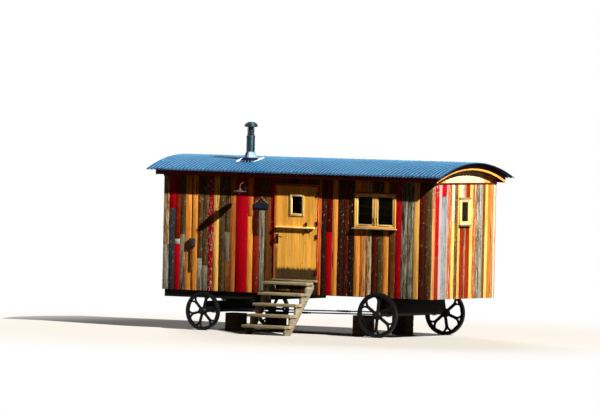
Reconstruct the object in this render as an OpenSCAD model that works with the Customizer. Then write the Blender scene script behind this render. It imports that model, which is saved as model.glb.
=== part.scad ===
// Shepherds hut on four cast iron wheels, with a barrel roof, a stable door and open steps.
// Millimetres. X runs along the door wall, -Y is the door side, +Z is up, the ground is at Z = 0.

/* [Body] */
// Length of the cladding, along the door wall
body_l = 5540; // [5300:10:5800]
// Width of the cladding, across the hut
body_w = 2250; // [2150:10:2400]
// Thickness of a wall: boards outside, studs and lining inside
wall_t = 90; // [70:5:110]
// Height of the lower edge of the cladding above the ground
clad_low = 700; // [690:5:720]
// Height of the finished floor above the ground
floor_z = 970; // [960:5:985]
// Height of the top of the cladding under the gable panels
rail_z = 2715; // [2690:5:2740]

/* [Roof] */
// Height of the crown of the barrel roof
crown_z = 3107; // [3080:1:3140]
// Height of the roof sheet at its eaves
eave_z = 2840; // [2830:1:2860]
// Reach of the roof sheet past the long walls
eave_over = 190; // [170:5:230]
// Reach of the roof sheet past the gable walls
end_over = 265; // [200:5:300]
// Depth of the corrugated sheet, crest to trough
sheet_t = 20; // [16:1:24]
// Depth of a barge board
barge_d = 120; // [90:5:140]
// Reach of the outer face of a barge board past the gable wall
barge_out = 137; // [100:1:160]
// Reach of the outer face of a fascia past the long wall
fascia_out = 72; // [50:1:90]
// Height of the lower edge of the fascias
fascia_low = 2745; // [2730:5:2760]

/* [Door] */
// Left edge of the door, from the left corner of the hut
door_left = 2360; // [2300:10:2400]
// Width of the door leaves
door_w = 840; // [780:10:860]
// Height of both leaves together
door_h = 1635; // [1600:5:1640]
// Height of the lower leaf
lower_leaf_h = 885; // [850:5:900]
// Thickness of the door leaves
leaf_t = 42; // [36:1:48]
// Width of the glass in the upper leaf
door_glass_w = 210; // [180:5:260]
// Height of the glass in the upper leaf
door_glass_h = 306; // [240:6:330]

/* [Windows] */
// Left edge of the casement's frame, from the left corner of the hut
casement_left = 3966; // [3900:1:4000]
// Width of the casement's frame
casement_w = 842; // [800:2:880]
// Height of the lower edge of the casement's frame
casement_low = 1918; // [1900:1:1940]
// Height of the casement's frame
casement_h = 606; // [560:2:620]
// Front edge of the gable window's frame, from the door wall
gable_window_front = 944; // [900:1:1000]
// Width of the gable window's frame
gable_window_w = 366; // [340:2:400]
// Height of the lower edge of the gable window's frame
gable_window_low = 2008; // [1990:1:2020]
// Height of the gable window's frame
gable_window_h = 450; // [420:2:460]

/* [Running gear] */
// Radius of the front wheels
front_wheel_r = 341; // [335:1:345]
// Radius of the rear wheels
rear_wheel_r = 395; // [385:1:405]
// Front axle, from the left end of the hut
front_axle_x = 905; // [860:5:920]
// Rear axle, from the left end of the hut
rear_axle_x = 4510; // [4440:2:4530]
// Distance of a wheel's middle plane outside the cladding
wheel_out = 52; // [48:1:60]
// Width of a wheel's rim
rim_w = 70; // [60:2:74]
// Radius of an axle pin
pin_r = 22; // [20:0.5:25]
// Length of the front subframe
subframe_l = 2060; // [1900:10:2100]

/* [Steps] */
// Left end of the treads, from the left corner of the hut
steps_left = 2300; // [2280:5:2320]
// Length of a tread
tread_l = 900; // [880:5:910]
// Depth of a tread
tread_d = 240; // [220:5:260]
// Thickness of a tread
tread_t = 52; // [44:1:58]
// Height of the top tread
top_tread_z = 923; // [915:1:925]
// Rise between two treads
rise = 188; // [180:1:190]
// Going between two treads
going = 176; // [160:1:190]
// Number of treads
tread_count = 5; // [5:1:5]
// Gap between the door wall and the top tread
steps_gap = 68; // [60:1:110]
// Reach of the threshold past the door wall
threshold_out = 60; // [40:1:66]
// Distance from the door wall to the back edge of the stringers at the ground
stringer_foot = 757; // [700:1:800]

/* [Fittings] */
// Flue, from the left end of the hut
flue_x = 1500; // [1300:10:1600]
// Flue, behind the door wall
flue_y = 480; // [400:10:600]
// Height of the top of the flue's cowl
flue_top = 3718; // [3650:2:3750]
// Radius of the flue pipe
flue_r = 75; // [65:1:80]
// Middle of the lamp, from the left end of the hut
lamp_x = 1722; // [1700:2:1800]
// Stand-off of the lamp from the wall
lamp_off = 210; // [190:5:320]
// Height of the lamp's shade
lamp_z = 2490; // [2470:5:2510]
// Radius of the lamp's shade
shade_r = 115; // [105:1:150]

/* [Hidden] */
$fn = 72;
// Segments of the large roof arcs and of the wheel rims
roof_fn = 360;
wheel_fn = 180;

// Reach of the steps in front of the door wall
steps_reach = steps_gap + tread_d + (tread_count - 1) * going;
// The origin is under the middle of the whole outline, so the hut's own middle lies behind it
hut_y = (steps_reach - eave_over) / 2;

x_left = -body_l / 2;
x_right = body_l / 2;
y_front = -body_w / 2;
y_back = body_w / 2;
inner_left = x_left + wall_t;
inner_right = x_right - wall_t;
inner_front = y_front + wall_t;
inner_back = y_back - wall_t;

roof_half = body_w / 2 + eave_over;
roof_rise = crown_z - eave_z;
roof_r = (roof_rise * roof_rise + roof_half * roof_half) / (2 * roof_rise);
roof_cz = crown_z - roof_r;
deck_t = 18;
deck_r = roof_r - sheet_t - deck_t;
bow_d = 60;
bow_t = 45;
bow_count = 6;
board_t = 22;
deck_end = body_l / 2 + barge_out - board_t;

floor_t = 40;
joist_h = 60;
joist_w = 60;
joist_count = 11;
beam_w = 90;
beam_top = floor_z - floor_t - joist_h;
subframe_h = 125;
subframe_low = clad_low - subframe_h;
subframe_x = 33;
subframe_y = y_front + 40;

jamb_t = 30;
hinge_gap = 6;
latch_gap = 8;
leaf_gap = 5;
leaf_out = 12;
leaf_face = y_front - leaf_out;
stop_gap = 6;
stop_w = 15;
threshold_z = floor_z - 2;
threshold_t = 43;
leaf_low = floor_z + leaf_gap;
lower_leaf_top = leaf_low + lower_leaf_h;
leaf_top = leaf_low + door_h;
leaf_x0 = x_left + door_left;
leaf_x1 = leaf_x0 + door_w;
jamb_x0 = leaf_x0 - latch_gap;
jamb_x1 = leaf_x1 + hinge_gap;
head_z = leaf_top + hinge_gap;
doorway_x0 = jamb_x0 - jamb_t;
doorway_x1 = jamb_x1 + jamb_t;
doorway_top = head_z + jamb_t;

hinge_x = leaf_x1 + hinge_gap / 2;
knuckle_r = 8;
knuckle_h = 41;
hinge_pin_r = 4;
hinge_bore_r = 4.05;
hinge_y = leaf_face - knuckle_r;
plate_t = 3;
hinge_heights = [1090, 1727, 1957, 2470];

ledge_low = lower_leaf_top + leaf_gap;
ledge_h = 30;
ledge_out = 40;
ledge_run = door_w - 45;
bolt_x = x_left + 2986;
bolt_r = 6;
bolt_off = 16;

door_glass_x = leaf_x0 + 428;
door_glass_z = 2278;
door_window_rim = 42;
door_window_out = 10;

stile = 36;
rail = 30;
mullion = 39;
frame_bar = 30;
glass_t = 6;
frame_out = 12;
gw_out = 28;
frame_x0 = x_left + casement_left;
frame_x1 = frame_x0 + casement_w;
sash_w = (casement_w - 2 * frame_bar - mullion) / 2;
sash_h = casement_h - 2 * frame_bar;
sash_low = casement_low + frame_bar;
gw_y0 = y_front + gable_window_front;
gw_stile = 75;
gw_rail = 55;

rim_t = 0.14;
hub_r = 0.16;
spoke_half = 0.065;
web_t = 26;
hub_l = 150;
pin_clear = 0.05;
wheel_y = y_front - wheel_out;
bar_w = 50;
bar_end = body_w / 2 + wheel_out - hub_l / 2 - 6;
bed_w = 160;
bed_end = body_w / 2 - 110;
front_bed_top = 515;
ring_r = 300;

stringer_t = 50;
stringer_in = 30;

stack_w = 290;
front_stack_h = 315;
rear_stack_h = 365;
rod_r = 12;
rod_in = 430;

// Puts a piece that is drawn about the hut's own middle in the frame of the whole outline
module at_hut() {
  translate([0, hut_y, 0]) children();
}

// A box between two corners
module slab(x0, x1, y0, y1, z0, z1) {
  translate([x0, y0, z0]) cube([x1 - x0, y1 - y0, z1 - z0]);
}

// A solid bar along X under the barrel arc of radius r
module under_arc(r, x0, x1) {
  translate([x0, 0, roof_cz]) rotate([0, 90, 0]) cylinder(r = r, h = x1 - x0, $fn = roof_fn);
}

// A curved shell of the roof between two radii, as wide as twice half
module arc_shell(r_out, r_in, half, x0, x1) {
  intersection() {
    difference() {
      under_arc(r_out, x0, x1);
      under_arc(r_in, x0 - 1, x1 + 1);
    }
    slab(x0 - 1, x1 + 1, -half, half, roof_cz + r_in * 0.8, crown_z + 1);
  }
}

module along_x(x0, x1, y, z, r) {
  translate([x0, y, z]) rotate([0, 90, 0]) cylinder(r = r, h = x1 - x0);
}

module along_y(x, y0, y1, z, r) {
  translate([x, y0, z]) rotate([-90, 0, 0]) cylinder(r = r, h = y1 - y0);
}

module mirrored_y() {
  children();
  mirror([0, 1, 0]) children();
}

module mirrored_x() {
  children();
  mirror([1, 0, 0]) children();
}

module hut_floor() {
  color("burlywood") at_hut()
    slab(inner_left, inner_right, inner_front, inner_back, floor_z - floor_t, floor_z);
}

module floor_joists() {
  pitch = (inner_right - inner_left - joist_w) / (joist_count - 1);
  color("tan") at_hut()
    for (i = [0 : joist_count - 1])
      slab(inner_left + i * pitch, inner_left + i * pitch + joist_w,
        inner_front, inner_back, beam_top, beam_top + joist_h);
}

module chassis_beams() {
  color("dimgray") at_hut() mirrored_y()
    slab(inner_left, inner_right, inner_front, inner_front + beam_w, clad_low, beam_top);
}

// A stretch of the door wall between two places along it
module front_stretch(x0, x1, z0, z1) {
  intersection() {
    slab(x0, x1, y_front, inner_front, z0, z1);
    under_arc(deck_r, x0 - 1, x1 + 1);
  }
}

module front_wall_left() {
  color("indianred") at_hut() front_stretch(inner_left, doorway_x0, clad_low, crown_z);
}

module front_wall_right() {
  color("firebrick") at_hut() difference() {
    front_stretch(doorway_x1, inner_right, clad_low, crown_z);
    slab(frame_x0 + frame_bar, frame_x1 - frame_bar, y_front - 1, inner_front + 1,
      sash_low, sash_low + sash_h);
  }
}

module front_wall_over_door() {
  color("sienna") at_hut() front_stretch(doorway_x0, doorway_x1, doorway_top, crown_z);
}

module front_wall_under_door() {
  color("sienna") at_hut()
    front_stretch(doorway_x0, doorway_x1, clad_low, threshold_z - threshold_t);
}

module back_wall() {
  color("peru") at_hut() mirror([0, 1, 0]) front_stretch(inner_left, inner_right, clad_low, crown_z);
}

module left_wall() {
  color("darkkhaki") at_hut() slab(x_left, inner_left, y_front, y_back, clad_low, rail_z);
}

module right_wall() {
  color("goldenrod") at_hut() difference() {
    slab(inner_right, x_right, y_front, y_back, clad_low, rail_z);
    slab(inner_right - 1, x_right + 1, gw_y0 + frame_bar, gw_y0 + gable_window_w - frame_bar,
      gable_window_low + frame_bar, gable_window_low + gable_window_h - frame_bar);
  }
}

// The curved panel over the right-hand wall, with the rail that it stands on
module gable_panel() {
  intersection() {
    slab(inner_right, x_right, y_front, y_back, rail_z, crown_z);
    under_arc(deck_r, inner_right - 1, x_right + 1);
  }
  slab(x_right - 1, x_right + 12, y_front, y_back, rail_z, rail_z + 28);
}

module left_gable_panel() {
  color("wheat") at_hut() mirror([1, 0, 0]) gable_panel();
}

module right_gable_panel() {
  color("wheat") at_hut() gable_panel();
}

module roof_bows() {
  pitch = (inner_right - inner_left - bow_t) / (bow_count - 1);
  color("tan") at_hut()
    for (i = [0 : bow_count - 1])
      arc_shell(deck_r, deck_r - bow_d, inner_back, inner_left + i * pitch, inner_left + i * pitch + bow_t);
}

module roof_deck() {
  color("saddlebrown") at_hut()
    arc_shell(roof_r - sheet_t, deck_r, body_w / 2 + fascia_out, -deck_end, deck_end);
}

module roof_sheet() {
  color("lightsteelblue") at_hut()
    arc_shell(roof_r, roof_r - sheet_t, roof_half, x_left - end_over, x_right + end_over);
}

module eave_fascias() {
  color("chocolate") at_hut() mirrored_y() intersection() {
    slab(-deck_end, deck_end, y_front - fascia_out, y_front - fascia_out + board_t,
      fascia_low, crown_z);
    under_arc(deck_r, -deck_end - 1, deck_end + 1);
  }
}

module barge_boards() {
  color("peru") at_hut() mirrored_x()
    arc_shell(roof_r - sheet_t, roof_r - sheet_t - barge_d, body_w / 2 + fascia_out,
      deck_end, deck_end + board_t);
}

// A jamb with its stop: side 1 stands left of the doorway, -1 right of it
module jamb(x, side) {
  x_out = x - side * jamb_t;
  x_stop = x + side * stop_w;
  slab(min(x, x_out), max(x, x_out), leaf_face, inner_front, threshold_z, head_z);
  slab(min(x_out, x_stop), max(x_out, x_stop), leaf_face + leaf_t + stop_gap, inner_front,
    threshold_z, head_z);
}

module door_jambs() {
  color("goldenrod") at_hut() {
    jamb(jamb_x0, 1);
    jamb(jamb_x1, -1);
  }
}

module door_head_and_threshold() {
  color("darkgoldenrod") at_hut() {
    slab(doorway_x0, doorway_x1, leaf_face, inner_front, head_z, doorway_top);
    slab(doorway_x0, doorway_x1, y_front - threshold_out, inner_front,
      threshold_z - threshold_t, threshold_z);
  }
}

module door_lower_leaf() {
  color("orange") at_hut() slab(leaf_x0, leaf_x1, leaf_face, leaf_face + leaf_t, leaf_low, lower_leaf_top);
}

// The upper leaf with its glazed opening, the raised frame round it and the drip ledge at its foot
module door_upper_leaf() {
  half_w = door_glass_w / 2;
  half_h = door_glass_h / 2;
  rim = door_window_rim;
  color("orange") at_hut() difference() {
    union() {
      slab(leaf_x0, leaf_x1, leaf_face, leaf_face + leaf_t, ledge_low, leaf_top);
      slab(door_glass_x - half_w - rim, door_glass_x + half_w + rim,
        leaf_face - door_window_out, leaf_face + 1,
        door_glass_z - half_h - rim, door_glass_z + half_h + rim);
      slab(leaf_x0 + 8, leaf_x0 + 8 + ledge_run, leaf_face - ledge_out, leaf_face + 1,
        ledge_low, ledge_low + ledge_h);
    }
    slab(door_glass_x - half_w, door_glass_x + half_w, leaf_face - 50, leaf_face + leaf_t + 1,
      door_glass_z - half_h, door_glass_z + half_h);
    translate([bolt_x, leaf_face - bolt_off, ledge_low - 1])
      cylinder(r = bolt_r + 0.5, h = ledge_h + 2);
  }
}

module door_glass() {
  color("lightcyan", 0.4) at_hut()
    translate([door_glass_x, leaf_face + leaf_t / 2, door_glass_z])
      cube([door_glass_w, glass_t, door_glass_h], center = true);
}

// Post side of the hinges: a plate on the jamb, the lower knuckle and the pin
module door_hinge_pins() {
  color("black") at_hut()
    for (z = hinge_heights) {
      slab(hinge_x + 11, hinge_x + 22, leaf_face - plate_t, leaf_face, z - knuckle_h, z + knuckle_h);
      slab(hinge_x, hinge_x + 12, leaf_face - plate_t, leaf_face, z - knuckle_h, z - 2);
      translate([hinge_x, hinge_y, z - knuckle_h]) cylinder(r = knuckle_r, h = knuckle_h - 1);
      translate([hinge_x, hinge_y, z - 2]) cylinder(r = hinge_pin_r, h = knuckle_h + 2);
    }
}

// Door side of the hinges: a plate on the leaf and the upper knuckle that turns on the pin
module door_hinge_leaves() {
  color("black") at_hut()
    for (z = hinge_heights) difference() {
      union() {
        slab(hinge_x - 22, hinge_x - 11, leaf_face - plate_t, leaf_face, z - knuckle_h, z + knuckle_h);
        slab(hinge_x - 12, hinge_x, leaf_face - plate_t, leaf_face, z + 1, z + knuckle_h);
        translate([hinge_x, hinge_y, z]) cylinder(r = knuckle_r, h = knuckle_h);
      }
      translate([hinge_x, hinge_y, z - 1]) cylinder(r = hinge_bore_r, h = knuckle_h + 2);
    }
}

// Lever handle on a long plate
module door_handle() {
  x = leaf_x0 + 42;
  z = 1676;
  color("black") at_hut() {
    slab(x - 22, x + 22, leaf_face - 5, leaf_face, z - 85, z + 85);
    along_y(x, leaf_face - 48, leaf_face, z + 35, 8);
    along_x(x - 8, x + 105, leaf_face - 44, z + 35, 8);
  }
}

// Bolt that holds the two leaves together, with a plate on each
module door_bolt() {
  top = ledge_low + 110;
  color("black") at_hut() {
    translate([bolt_x, leaf_face - bolt_off, ledge_low - 75]) cylinder(r = bolt_r, h = top - ledge_low + 85);
    slab(bolt_x - 20, bolt_x + 20, leaf_face - bolt_off, leaf_face, ledge_low + 42, top);
    slab(bolt_x - 20, bolt_x + 20, leaf_face - bolt_off, leaf_face, ledge_low - 65, ledge_low - 35);
    along_y(bolt_x, leaf_face - 45, leaf_face - bolt_off, ledge_low + 75, 9);
  }
}

// Hook on the wall that holds the open door
module door_hook() {
  x = x_left + 3361;
  color("black") at_hut() {
    slab(x - 16, x + 16, y_front - 6, y_front, 1886, 1930);
    along_y(x, y_front - 24, y_front, 1908, 6);
    translate([x, y_front - 18, 1752]) cylinder(r = 5, h = 156);
  }
}

// Frame of the casement with its middle post, drip head and sill
module casement_frame() {
  mid = (frame_x0 + frame_x1) / 2;
  z1 = casement_low + casement_h;
  y_out = y_front - frame_out;
  color("goldenrod") at_hut() {
    difference() {
      slab(frame_x0, frame_x1, y_out, y_front, casement_low, z1);
      slab(frame_x0 + frame_bar, frame_x1 - frame_bar, y_out - 1, y_front + 1, sash_low, sash_low + sash_h);
    }
    slab(mid - mullion / 2, mid + mullion / 2, y_out, y_front, sash_low - 1, sash_low + sash_h + 1);
    slab(mid - mullion / 2, mid + mullion / 2, y_front - 1, y_front + 50, sash_low, sash_low + sash_h);
    slab(frame_x0 - 25, frame_x1 + 25, y_front - 26, y_front, z1 - 1, z1 + 22);
    slab(frame_x0 - 22, frame_x1 + 32, y_front - 52, y_front, casement_low - 32, casement_low + 1);
  }
}

// The two glazed sashes inside the frame
module casement_sashes() {
  mid = (frame_x0 + frame_x1) / 2;
  y0 = y_front - frame_out + 4;
  color("gold") at_hut()
    for (x = [frame_x0 + frame_bar, mid + mullion / 2]) difference() {
      slab(x, x + sash_w, y0, y0 + 40, sash_low, sash_low + sash_h);
      slab(x + stile, x + sash_w - stile, y0 - 1, y0 + 41, sash_low + rail, sash_low + sash_h - rail);
    }
}

// Single light in the right-hand wall, with its drip head and sill
module gable_window_frame() {
  y1 = gw_y0 + gable_window_w;
  z1 = gable_window_low + gable_window_h;
  color("khaki") at_hut() {
    difference() {
      slab(x_right - 40, x_right + gw_out, gw_y0 + frame_bar, y1 - frame_bar,
        gable_window_low + frame_bar, z1 - frame_bar);
      slab(x_right - 41, x_right + gw_out + 1, gw_y0 + gw_stile, y1 - gw_stile,
        gable_window_low + gw_rail, z1 - gw_rail);
    }
    difference() {
      slab(x_right, x_right + gw_out, gw_y0, y1, gable_window_low, z1);
      slab(x_right - 1, x_right + gw_out + 1, gw_y0 + frame_bar, y1 - frame_bar,
        gable_window_low + frame_bar, z1 - frame_bar);
    }
    slab(x_right, x_right + 45, gw_y0 - 12, y1 + 12, z1 - 1, z1 + 26);
    slab(x_right, x_right + 55, gw_y0 - 12, y1 + 12, gable_window_low - 28, gable_window_low + 1);
  }
}

// Panes of the casement and of the gable window
module window_glass() {
  mid = (frame_x0 + frame_x1) / 2;
  color("lightcyan", 0.4) at_hut() {
    for (x = [frame_x0 + frame_bar, mid + mullion / 2])
      slab(x + stile, x + sash_w - stile, y_front + 8, y_front + 14,
        sash_low + rail, sash_low + sash_h - rail);
    slab(x_right + 6, x_right + 12, gw_y0 + gw_stile, gw_y0 + gable_window_w - gw_stile,
      gable_window_low + gw_rail, gable_window_low + gable_window_h - gw_rail);
  }
}

// Height of the roof sheet at a distance across from the middle
function roof_at(y) = roof_cz + sqrt(roof_r * roof_r - y * y);

flue_dy = y_front + flue_y;
flue_z = roof_at(flue_dy);
pipe_foot = roof_at(flue_dy + flue_r) + 1;
pipe_low = 3185;
cowl_h = 92;
neck_h = 175;
neck_r = 60;
cowl_r = 118;

// Black boot on the roof sheet and the bright cone above it
module flue_flashing() {
  color("darkslategray") at_hut() difference() {
    union() {
      intersection() {
        arc_shell(roof_r + 8, roof_r, roof_half, x_left + flue_x - 190, x_left + flue_x + 190);
        slab(x_left + flue_x - 190, x_left + flue_x + 190, flue_dy - 170, flue_dy + 170, 0, 4000);
      }
      intersection() {
        translate([x_left + flue_x, flue_dy, flue_z - 60]) cylinder(r = 165, h = 100);
        difference() {
          translate([x_left + flue_x, flue_dy, flue_z - 60]) cylinder(r = 166, h = 101);
          under_arc(roof_r, x_left + flue_x - 200, x_left + flue_x + 200);
        }
      }
      translate([x_left + flue_x, flue_dy, flue_z + 39])
        cylinder(r1 = 125, r2 = flue_r + 4, h = pipe_low - flue_z - 39);
    }
    translate([x_left + flue_x, flue_dy, 2500]) cylinder(r = flue_r + 0.3, h = 1000);
  }
}

module flue_pipe() {
  color("silver") at_hut() translate([x_left + flue_x, flue_dy, pipe_foot]) difference() {
    cylinder(r = flue_r, h = flue_top - cowl_h - neck_h - pipe_foot);
    translate([0, 0, -1]) cylinder(r = flue_r - 4, h = 900);
  }
}

// Cowl: an open mesh neck, closed here as a thin tube, and a cap
module flue_cowl() {
  color("gray") at_hut() translate([x_left + flue_x, flue_dy, flue_top - cowl_h - neck_h]) {
    difference() {
      union() {
        cylinder(r = flue_r + 3, h = 30);
        cylinder(r = neck_r + 4, h = neck_h + 1);
      }
      translate([0, 0, -1]) cylinder(r = neck_r, h = neck_h + 1);
    }
    translate([0, 0, neck_h]) cylinder(r1 = cowl_r, r2 = cowl_r - 6, h = cowl_h * 0.6);
    translate([0, 0, neck_h + cowl_h * 0.6 - 1]) cylinder(r1 = cowl_r - 6, r2 = cowl_r * 0.6, h = cowl_h * 0.4 + 1);
  }
}

// Swan-neck lamp with a flat shade
module wall_lamp() {
  elbow = 22;
  stem = 60;
  bend_r = (lamp_off - elbow) / 2;
  color("gray") at_hut() translate([x_left + lamp_x, y_front - lamp_off, lamp_z]) {
    cylinder(r1 = shade_r, r2 = 40, h = 22);
    translate([0, 0, 15]) cylinder(r1 = 34, r2 = 24, h = 40);
    translate([0, 0, -52]) cylinder(r = 24, h = 54);
    cylinder(r = 8, h = stem + 2);
    translate([0, bend_r, stem]) rotate([90, 0, 90])
      rotate_extrude(angle = 180) translate([bend_r, 0]) circle(r = 6, $fn = 24);
    translate([0, lamp_off - elbow, stem]) sphere(r = 10);
    along_y(0, lamp_off - elbow, lamp_off, stem, 7);
    along_y(0, lamp_off - 10, lamp_off, stem, 32);
  }
}

// Bare slate on a cord over a nail
module hanging_sign() {
  w = 300;
  low = 2193;
  high = 2293;
  nail_z = 2400;
  reach = sqrt(130 * 130 + (nail_z - high) * (nail_z - high));
  tilt = atan2(130, nail_z - high);
  color("slategray") at_hut() translate([x_left + 2050, y_front - 8, 0]) {
    slab(-w / 2, w / 2, -4, 4, low, high);
    for (s = [-1, 1])
      translate([s * 130, 0, high - 2]) rotate([0, -s * tilt, 0]) cylinder(r = 2.5, h = reach + 2);
    along_y(0, -6, 8, nail_z, 4);
  }
}

// Junction box with the conduit that runs down from it into the wall
module junction_box() {
  x = x_left + 630;
  color("darkslategray") at_hut() {
    slab(x - 55, x + 55, y_front - 40, y_front, 1475, 1626);
    translate([x - 12, y_front - 16, 1040]) cylinder(r = 9, h = 440);
    along_y(x - 12, y_front - 16, y_front, 1049, 9);
  }
}

module subframe_beams() {
  color("dimgray") at_hut() mirrored_y()
    slab(x_left + subframe_x, x_left + subframe_x + subframe_l, subframe_y, subframe_y + beam_w,
      subframe_low, clad_low);
}

// Two end members and the wide bolster over the front axle
module subframe_cross_members() {
  inner = subframe_y + beam_w;
  ends = [[subframe_x, 90], [front_axle_x - 100, 200], [subframe_x + subframe_l - 90, 90]];
  color("gray") at_hut()
    for (e = ends)
      slab(x_left + e[0], x_left + e[0] + e[1], inner, -inner, subframe_low, clad_low);
}

// Iron rings between the bolster and the axle bed, with the king pin
module turntable() {
  color("black") at_hut() translate([x_left + front_axle_x, 0, front_bed_top]) {
    difference() {
      cylinder(r = ring_r, h = subframe_low - front_bed_top);
      translate([0, 0, -1]) cylinder(r = ring_r - 70, h = subframe_low - front_bed_top + 2);
    }
    cylinder(r = 45, h = subframe_low - front_bed_top);
    slab(-60, 60, -ring_r + 10, ring_r - 10, 0, subframe_low - front_bed_top);
  }
}

// Timber beds over the two axles
module axle_beds() {
  color("dimgray") at_hut() {
    slab(x_left + front_axle_x - bed_w / 2, x_left + front_axle_x + bed_w / 2, -bed_end, bed_end,
      front_wheel_r + bar_w / 2, front_bed_top);
    slab(x_left + rear_axle_x - bed_w / 2, x_left + rear_axle_x + bed_w / 2, inner_front, inner_back,
      rear_wheel_r + bar_w / 2, clad_low);
  }
}

// A square bar with a round pin and a washer and cap at each end
module axle(x, z) {
  hub_out = body_w / 2 + wheel_out + hub_l / 2;
  slab(x - bar_w / 2, x + bar_w / 2, -bar_end, bar_end, z - bar_w / 2, z + bar_w / 2);
  along_y(x, -hub_out - 4, hub_out + 4, z, pin_r);
  for (s = [-1, 1]) translate([x, s * (hub_out + 10), z]) rotate([90, 0, 0])
    cylinder(r = pin_r + 12, h = 12, center = true);
}

module axles() {
  color("black") at_hut() {
    axle(x_left + front_axle_x, front_wheel_r);
    axle(x_left + rear_axle_x, rear_wheel_r);
  }
}

// Slim rods that tie the rear axle to the front one, cut flat against both axle bars
module tie_rods() {
  x0 = x_left + front_axle_x + bar_w / 2;
  x1 = x_left + rear_axle_x - bar_w / 2;
  dz = rear_wheel_r - front_wheel_r;
  run = sqrt((x1 - x0) * (x1 - x0) + dz * dz);
  y = y_front + rod_in;
  color("black") at_hut() mirrored_y() intersection() {
    translate([x0, y, front_wheel_r]) rotate([0, atan2(x1 - x0, dz), 0])
      translate([0, 0, -5]) cylinder(r = rod_r, h = run + 10);
    slab(x0, x1, y - 2 * rod_r, y + 2 * rod_r, front_wheel_r - 2 * rod_r, rear_wheel_r + 2 * rod_r);
  }
}

// A point of a wheel's pattern, from parts of the radius and an angle
function polar(r, share, a) = [r * share * cos(a), r * share * sin(a)];

// Arched opening between two spokes: the upper side as shares of the radius and angles
arch = [[0.62, 23.8], [0.68, 22.4], [0.74, 20.2], [0.80, 17], [0.84, 13.6]];
// Small opening between the two arms of a spoke and the rim
fork = [[0.72, 0], [0.78, 3.4], [0.84, 8]];

module wheel_openings(r) {
  near = 2 * spoke_half;
  for (i = [0 : 5]) {
    rotate(i * 60 + 30) polygon(concat([[near * r, 0]],
      [for (p = arch) polar(r, p[0], p[1])],
      [for (k = [len(arch) - 1 : -1 : 0]) polar(r, arch[k][0], -arch[k][1])]));
    rotate(i * 60) polygon(concat([for (p = fork) polar(r, p[0], p[1])],
      [for (k = [len(fork) - 1 : -1 : 1]) polar(r, fork[k][0], -fork[k][1])]));
  }
}

// Cast wheel about the Y axis: rim, forked spokes and hub
module wheel(r, turn) {
  rim_in = r * (1 - rim_t);
  rotate([90, 0, 0]) rotate(turn) difference() {
    union() {
      difference() {
        cylinder(r = r, h = rim_w, center = true, $fn = wheel_fn);
        cylinder(r = rim_in, h = rim_w + 2, center = true, $fn = wheel_fn);
      }
      linear_extrude(height = web_t, center = true) difference() {
        circle(r = rim_in + 2, $fn = wheel_fn);
        wheel_openings(r);
      }
      cylinder(r = hub_r * r, h = hub_l, center = true);
    }
    cylinder(r = pin_r + pin_clear, h = hub_l + 2, center = true);
  }
}

module front_wheel_door_side() {
  color("black") at_hut() translate([x_left + front_axle_x, wheel_y, front_wheel_r]) wheel(front_wheel_r, 14);
}

module front_wheel_far_side() {
  color("black") at_hut() translate([x_left + front_axle_x, -wheel_y, front_wheel_r]) wheel(front_wheel_r, 0);
}

module rear_wheel_door_side() {
  color("black") at_hut() translate([x_left + rear_axle_x, wheel_y, rear_wheel_r]) wheel(rear_wheel_r, 25);
}

module rear_wheel_far_side() {
  color("black") at_hut() translate([x_left + rear_axle_x, -wheel_y, rear_wheel_r]) wheel(rear_wheel_r, 40);
}

// Height of the underside of a tread
function tread_low(i) = top_tread_z - i * rise - tread_t;

// Board cut to the steps, with a straight back edge from the wall down to the ground
module stringer() {
  rotate([90, 0, 90]) linear_extrude(height = stringer_t) polygon(concat(
    [[y_front, tread_low(0)], [y_front, stringer_foot * rise / going], [y_front - stringer_foot, 0]],
    [for (i = [tread_count - 1 : -1 : 0])
      for (z = [i == tread_count - 1 ? 0 : tread_low(i + 1), tread_low(i)])
        [y_front - steps_gap - (i + 1) * going + 2, z]]));
}

module step_stringers() {
  color("tan") at_hut()
    for (x = [stringer_in, tread_l - stringer_in - stringer_t])
      translate([x_left + steps_left + x, 0, 0]) stringer();
}

module step_treads() {
  color("burlywood") at_hut()
    for (i = [0 : tread_count - 1])
      slab(x_left + steps_left, x_left + steps_left + tread_l, y_front - steps_gap - tread_d - i * going,
        y_front - steps_gap - i * going, tread_low(i), tread_low(i) + tread_t);
}

// Low stacks of blocks on the ground inside the wheels
module block_stacks() {
  color("rosybrown") at_hut() mirrored_y() {
    slab(x_left + 1150, x_left + 1150 + stack_w, y_front + 300, y_front + 300 + stack_w, 0, front_stack_h);
    slab(x_left + 3790, x_left + 3790 + stack_w, y_front + 300, y_front + 300 + stack_w, 0, rear_stack_h);
  }
}

hut_floor();
floor_joists();
chassis_beams();
front_wall_left();
front_wall_right();
front_wall_over_door();
front_wall_under_door();
back_wall();
left_wall();
right_wall();
left_gable_panel();
right_gable_panel();
roof_bows();
roof_deck();
roof_sheet();
eave_fascias();
barge_boards();
door_jambs();
door_head_and_threshold();
door_lower_leaf();
door_upper_leaf();
door_glass();
door_hinge_pins();
door_hinge_leaves();
door_handle();
door_bolt();
door_hook();
casement_frame();
casement_sashes();
gable_window_frame();
window_glass();
flue_flashing();
flue_pipe();
flue_cowl();
wall_lamp();
hanging_sign();
junction_box();
subframe_beams();
subframe_cross_members();
turntable();
axle_beds();
axles();
tie_rods();
front_wheel_door_side();
front_wheel_far_side();
rear_wheel_door_side();
rear_wheel_far_side();
step_stringers();
step_treads();
block_stacks();
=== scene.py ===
# %% [markdown]
# # A shepherds hut of reclaimed boards
# A shepherds hut is a small timber cabin on four iron wheels, under a barrel roof of corrugated
# sheet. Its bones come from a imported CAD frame, in metres, with X along the door wall, the door on
# the -Y side and the ground at Z = 0. This lesson gives the hut its finish: the boards, screws,
# straps and glazing that the eye looks for, and a material for every surface. Each step says what
# the piece is on the real hut, how it could be made, and why this way was chosen.

# %% Load the frame
import math
import random

import bmesh
import bpy
from mathutils import Matrix, Vector


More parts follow.
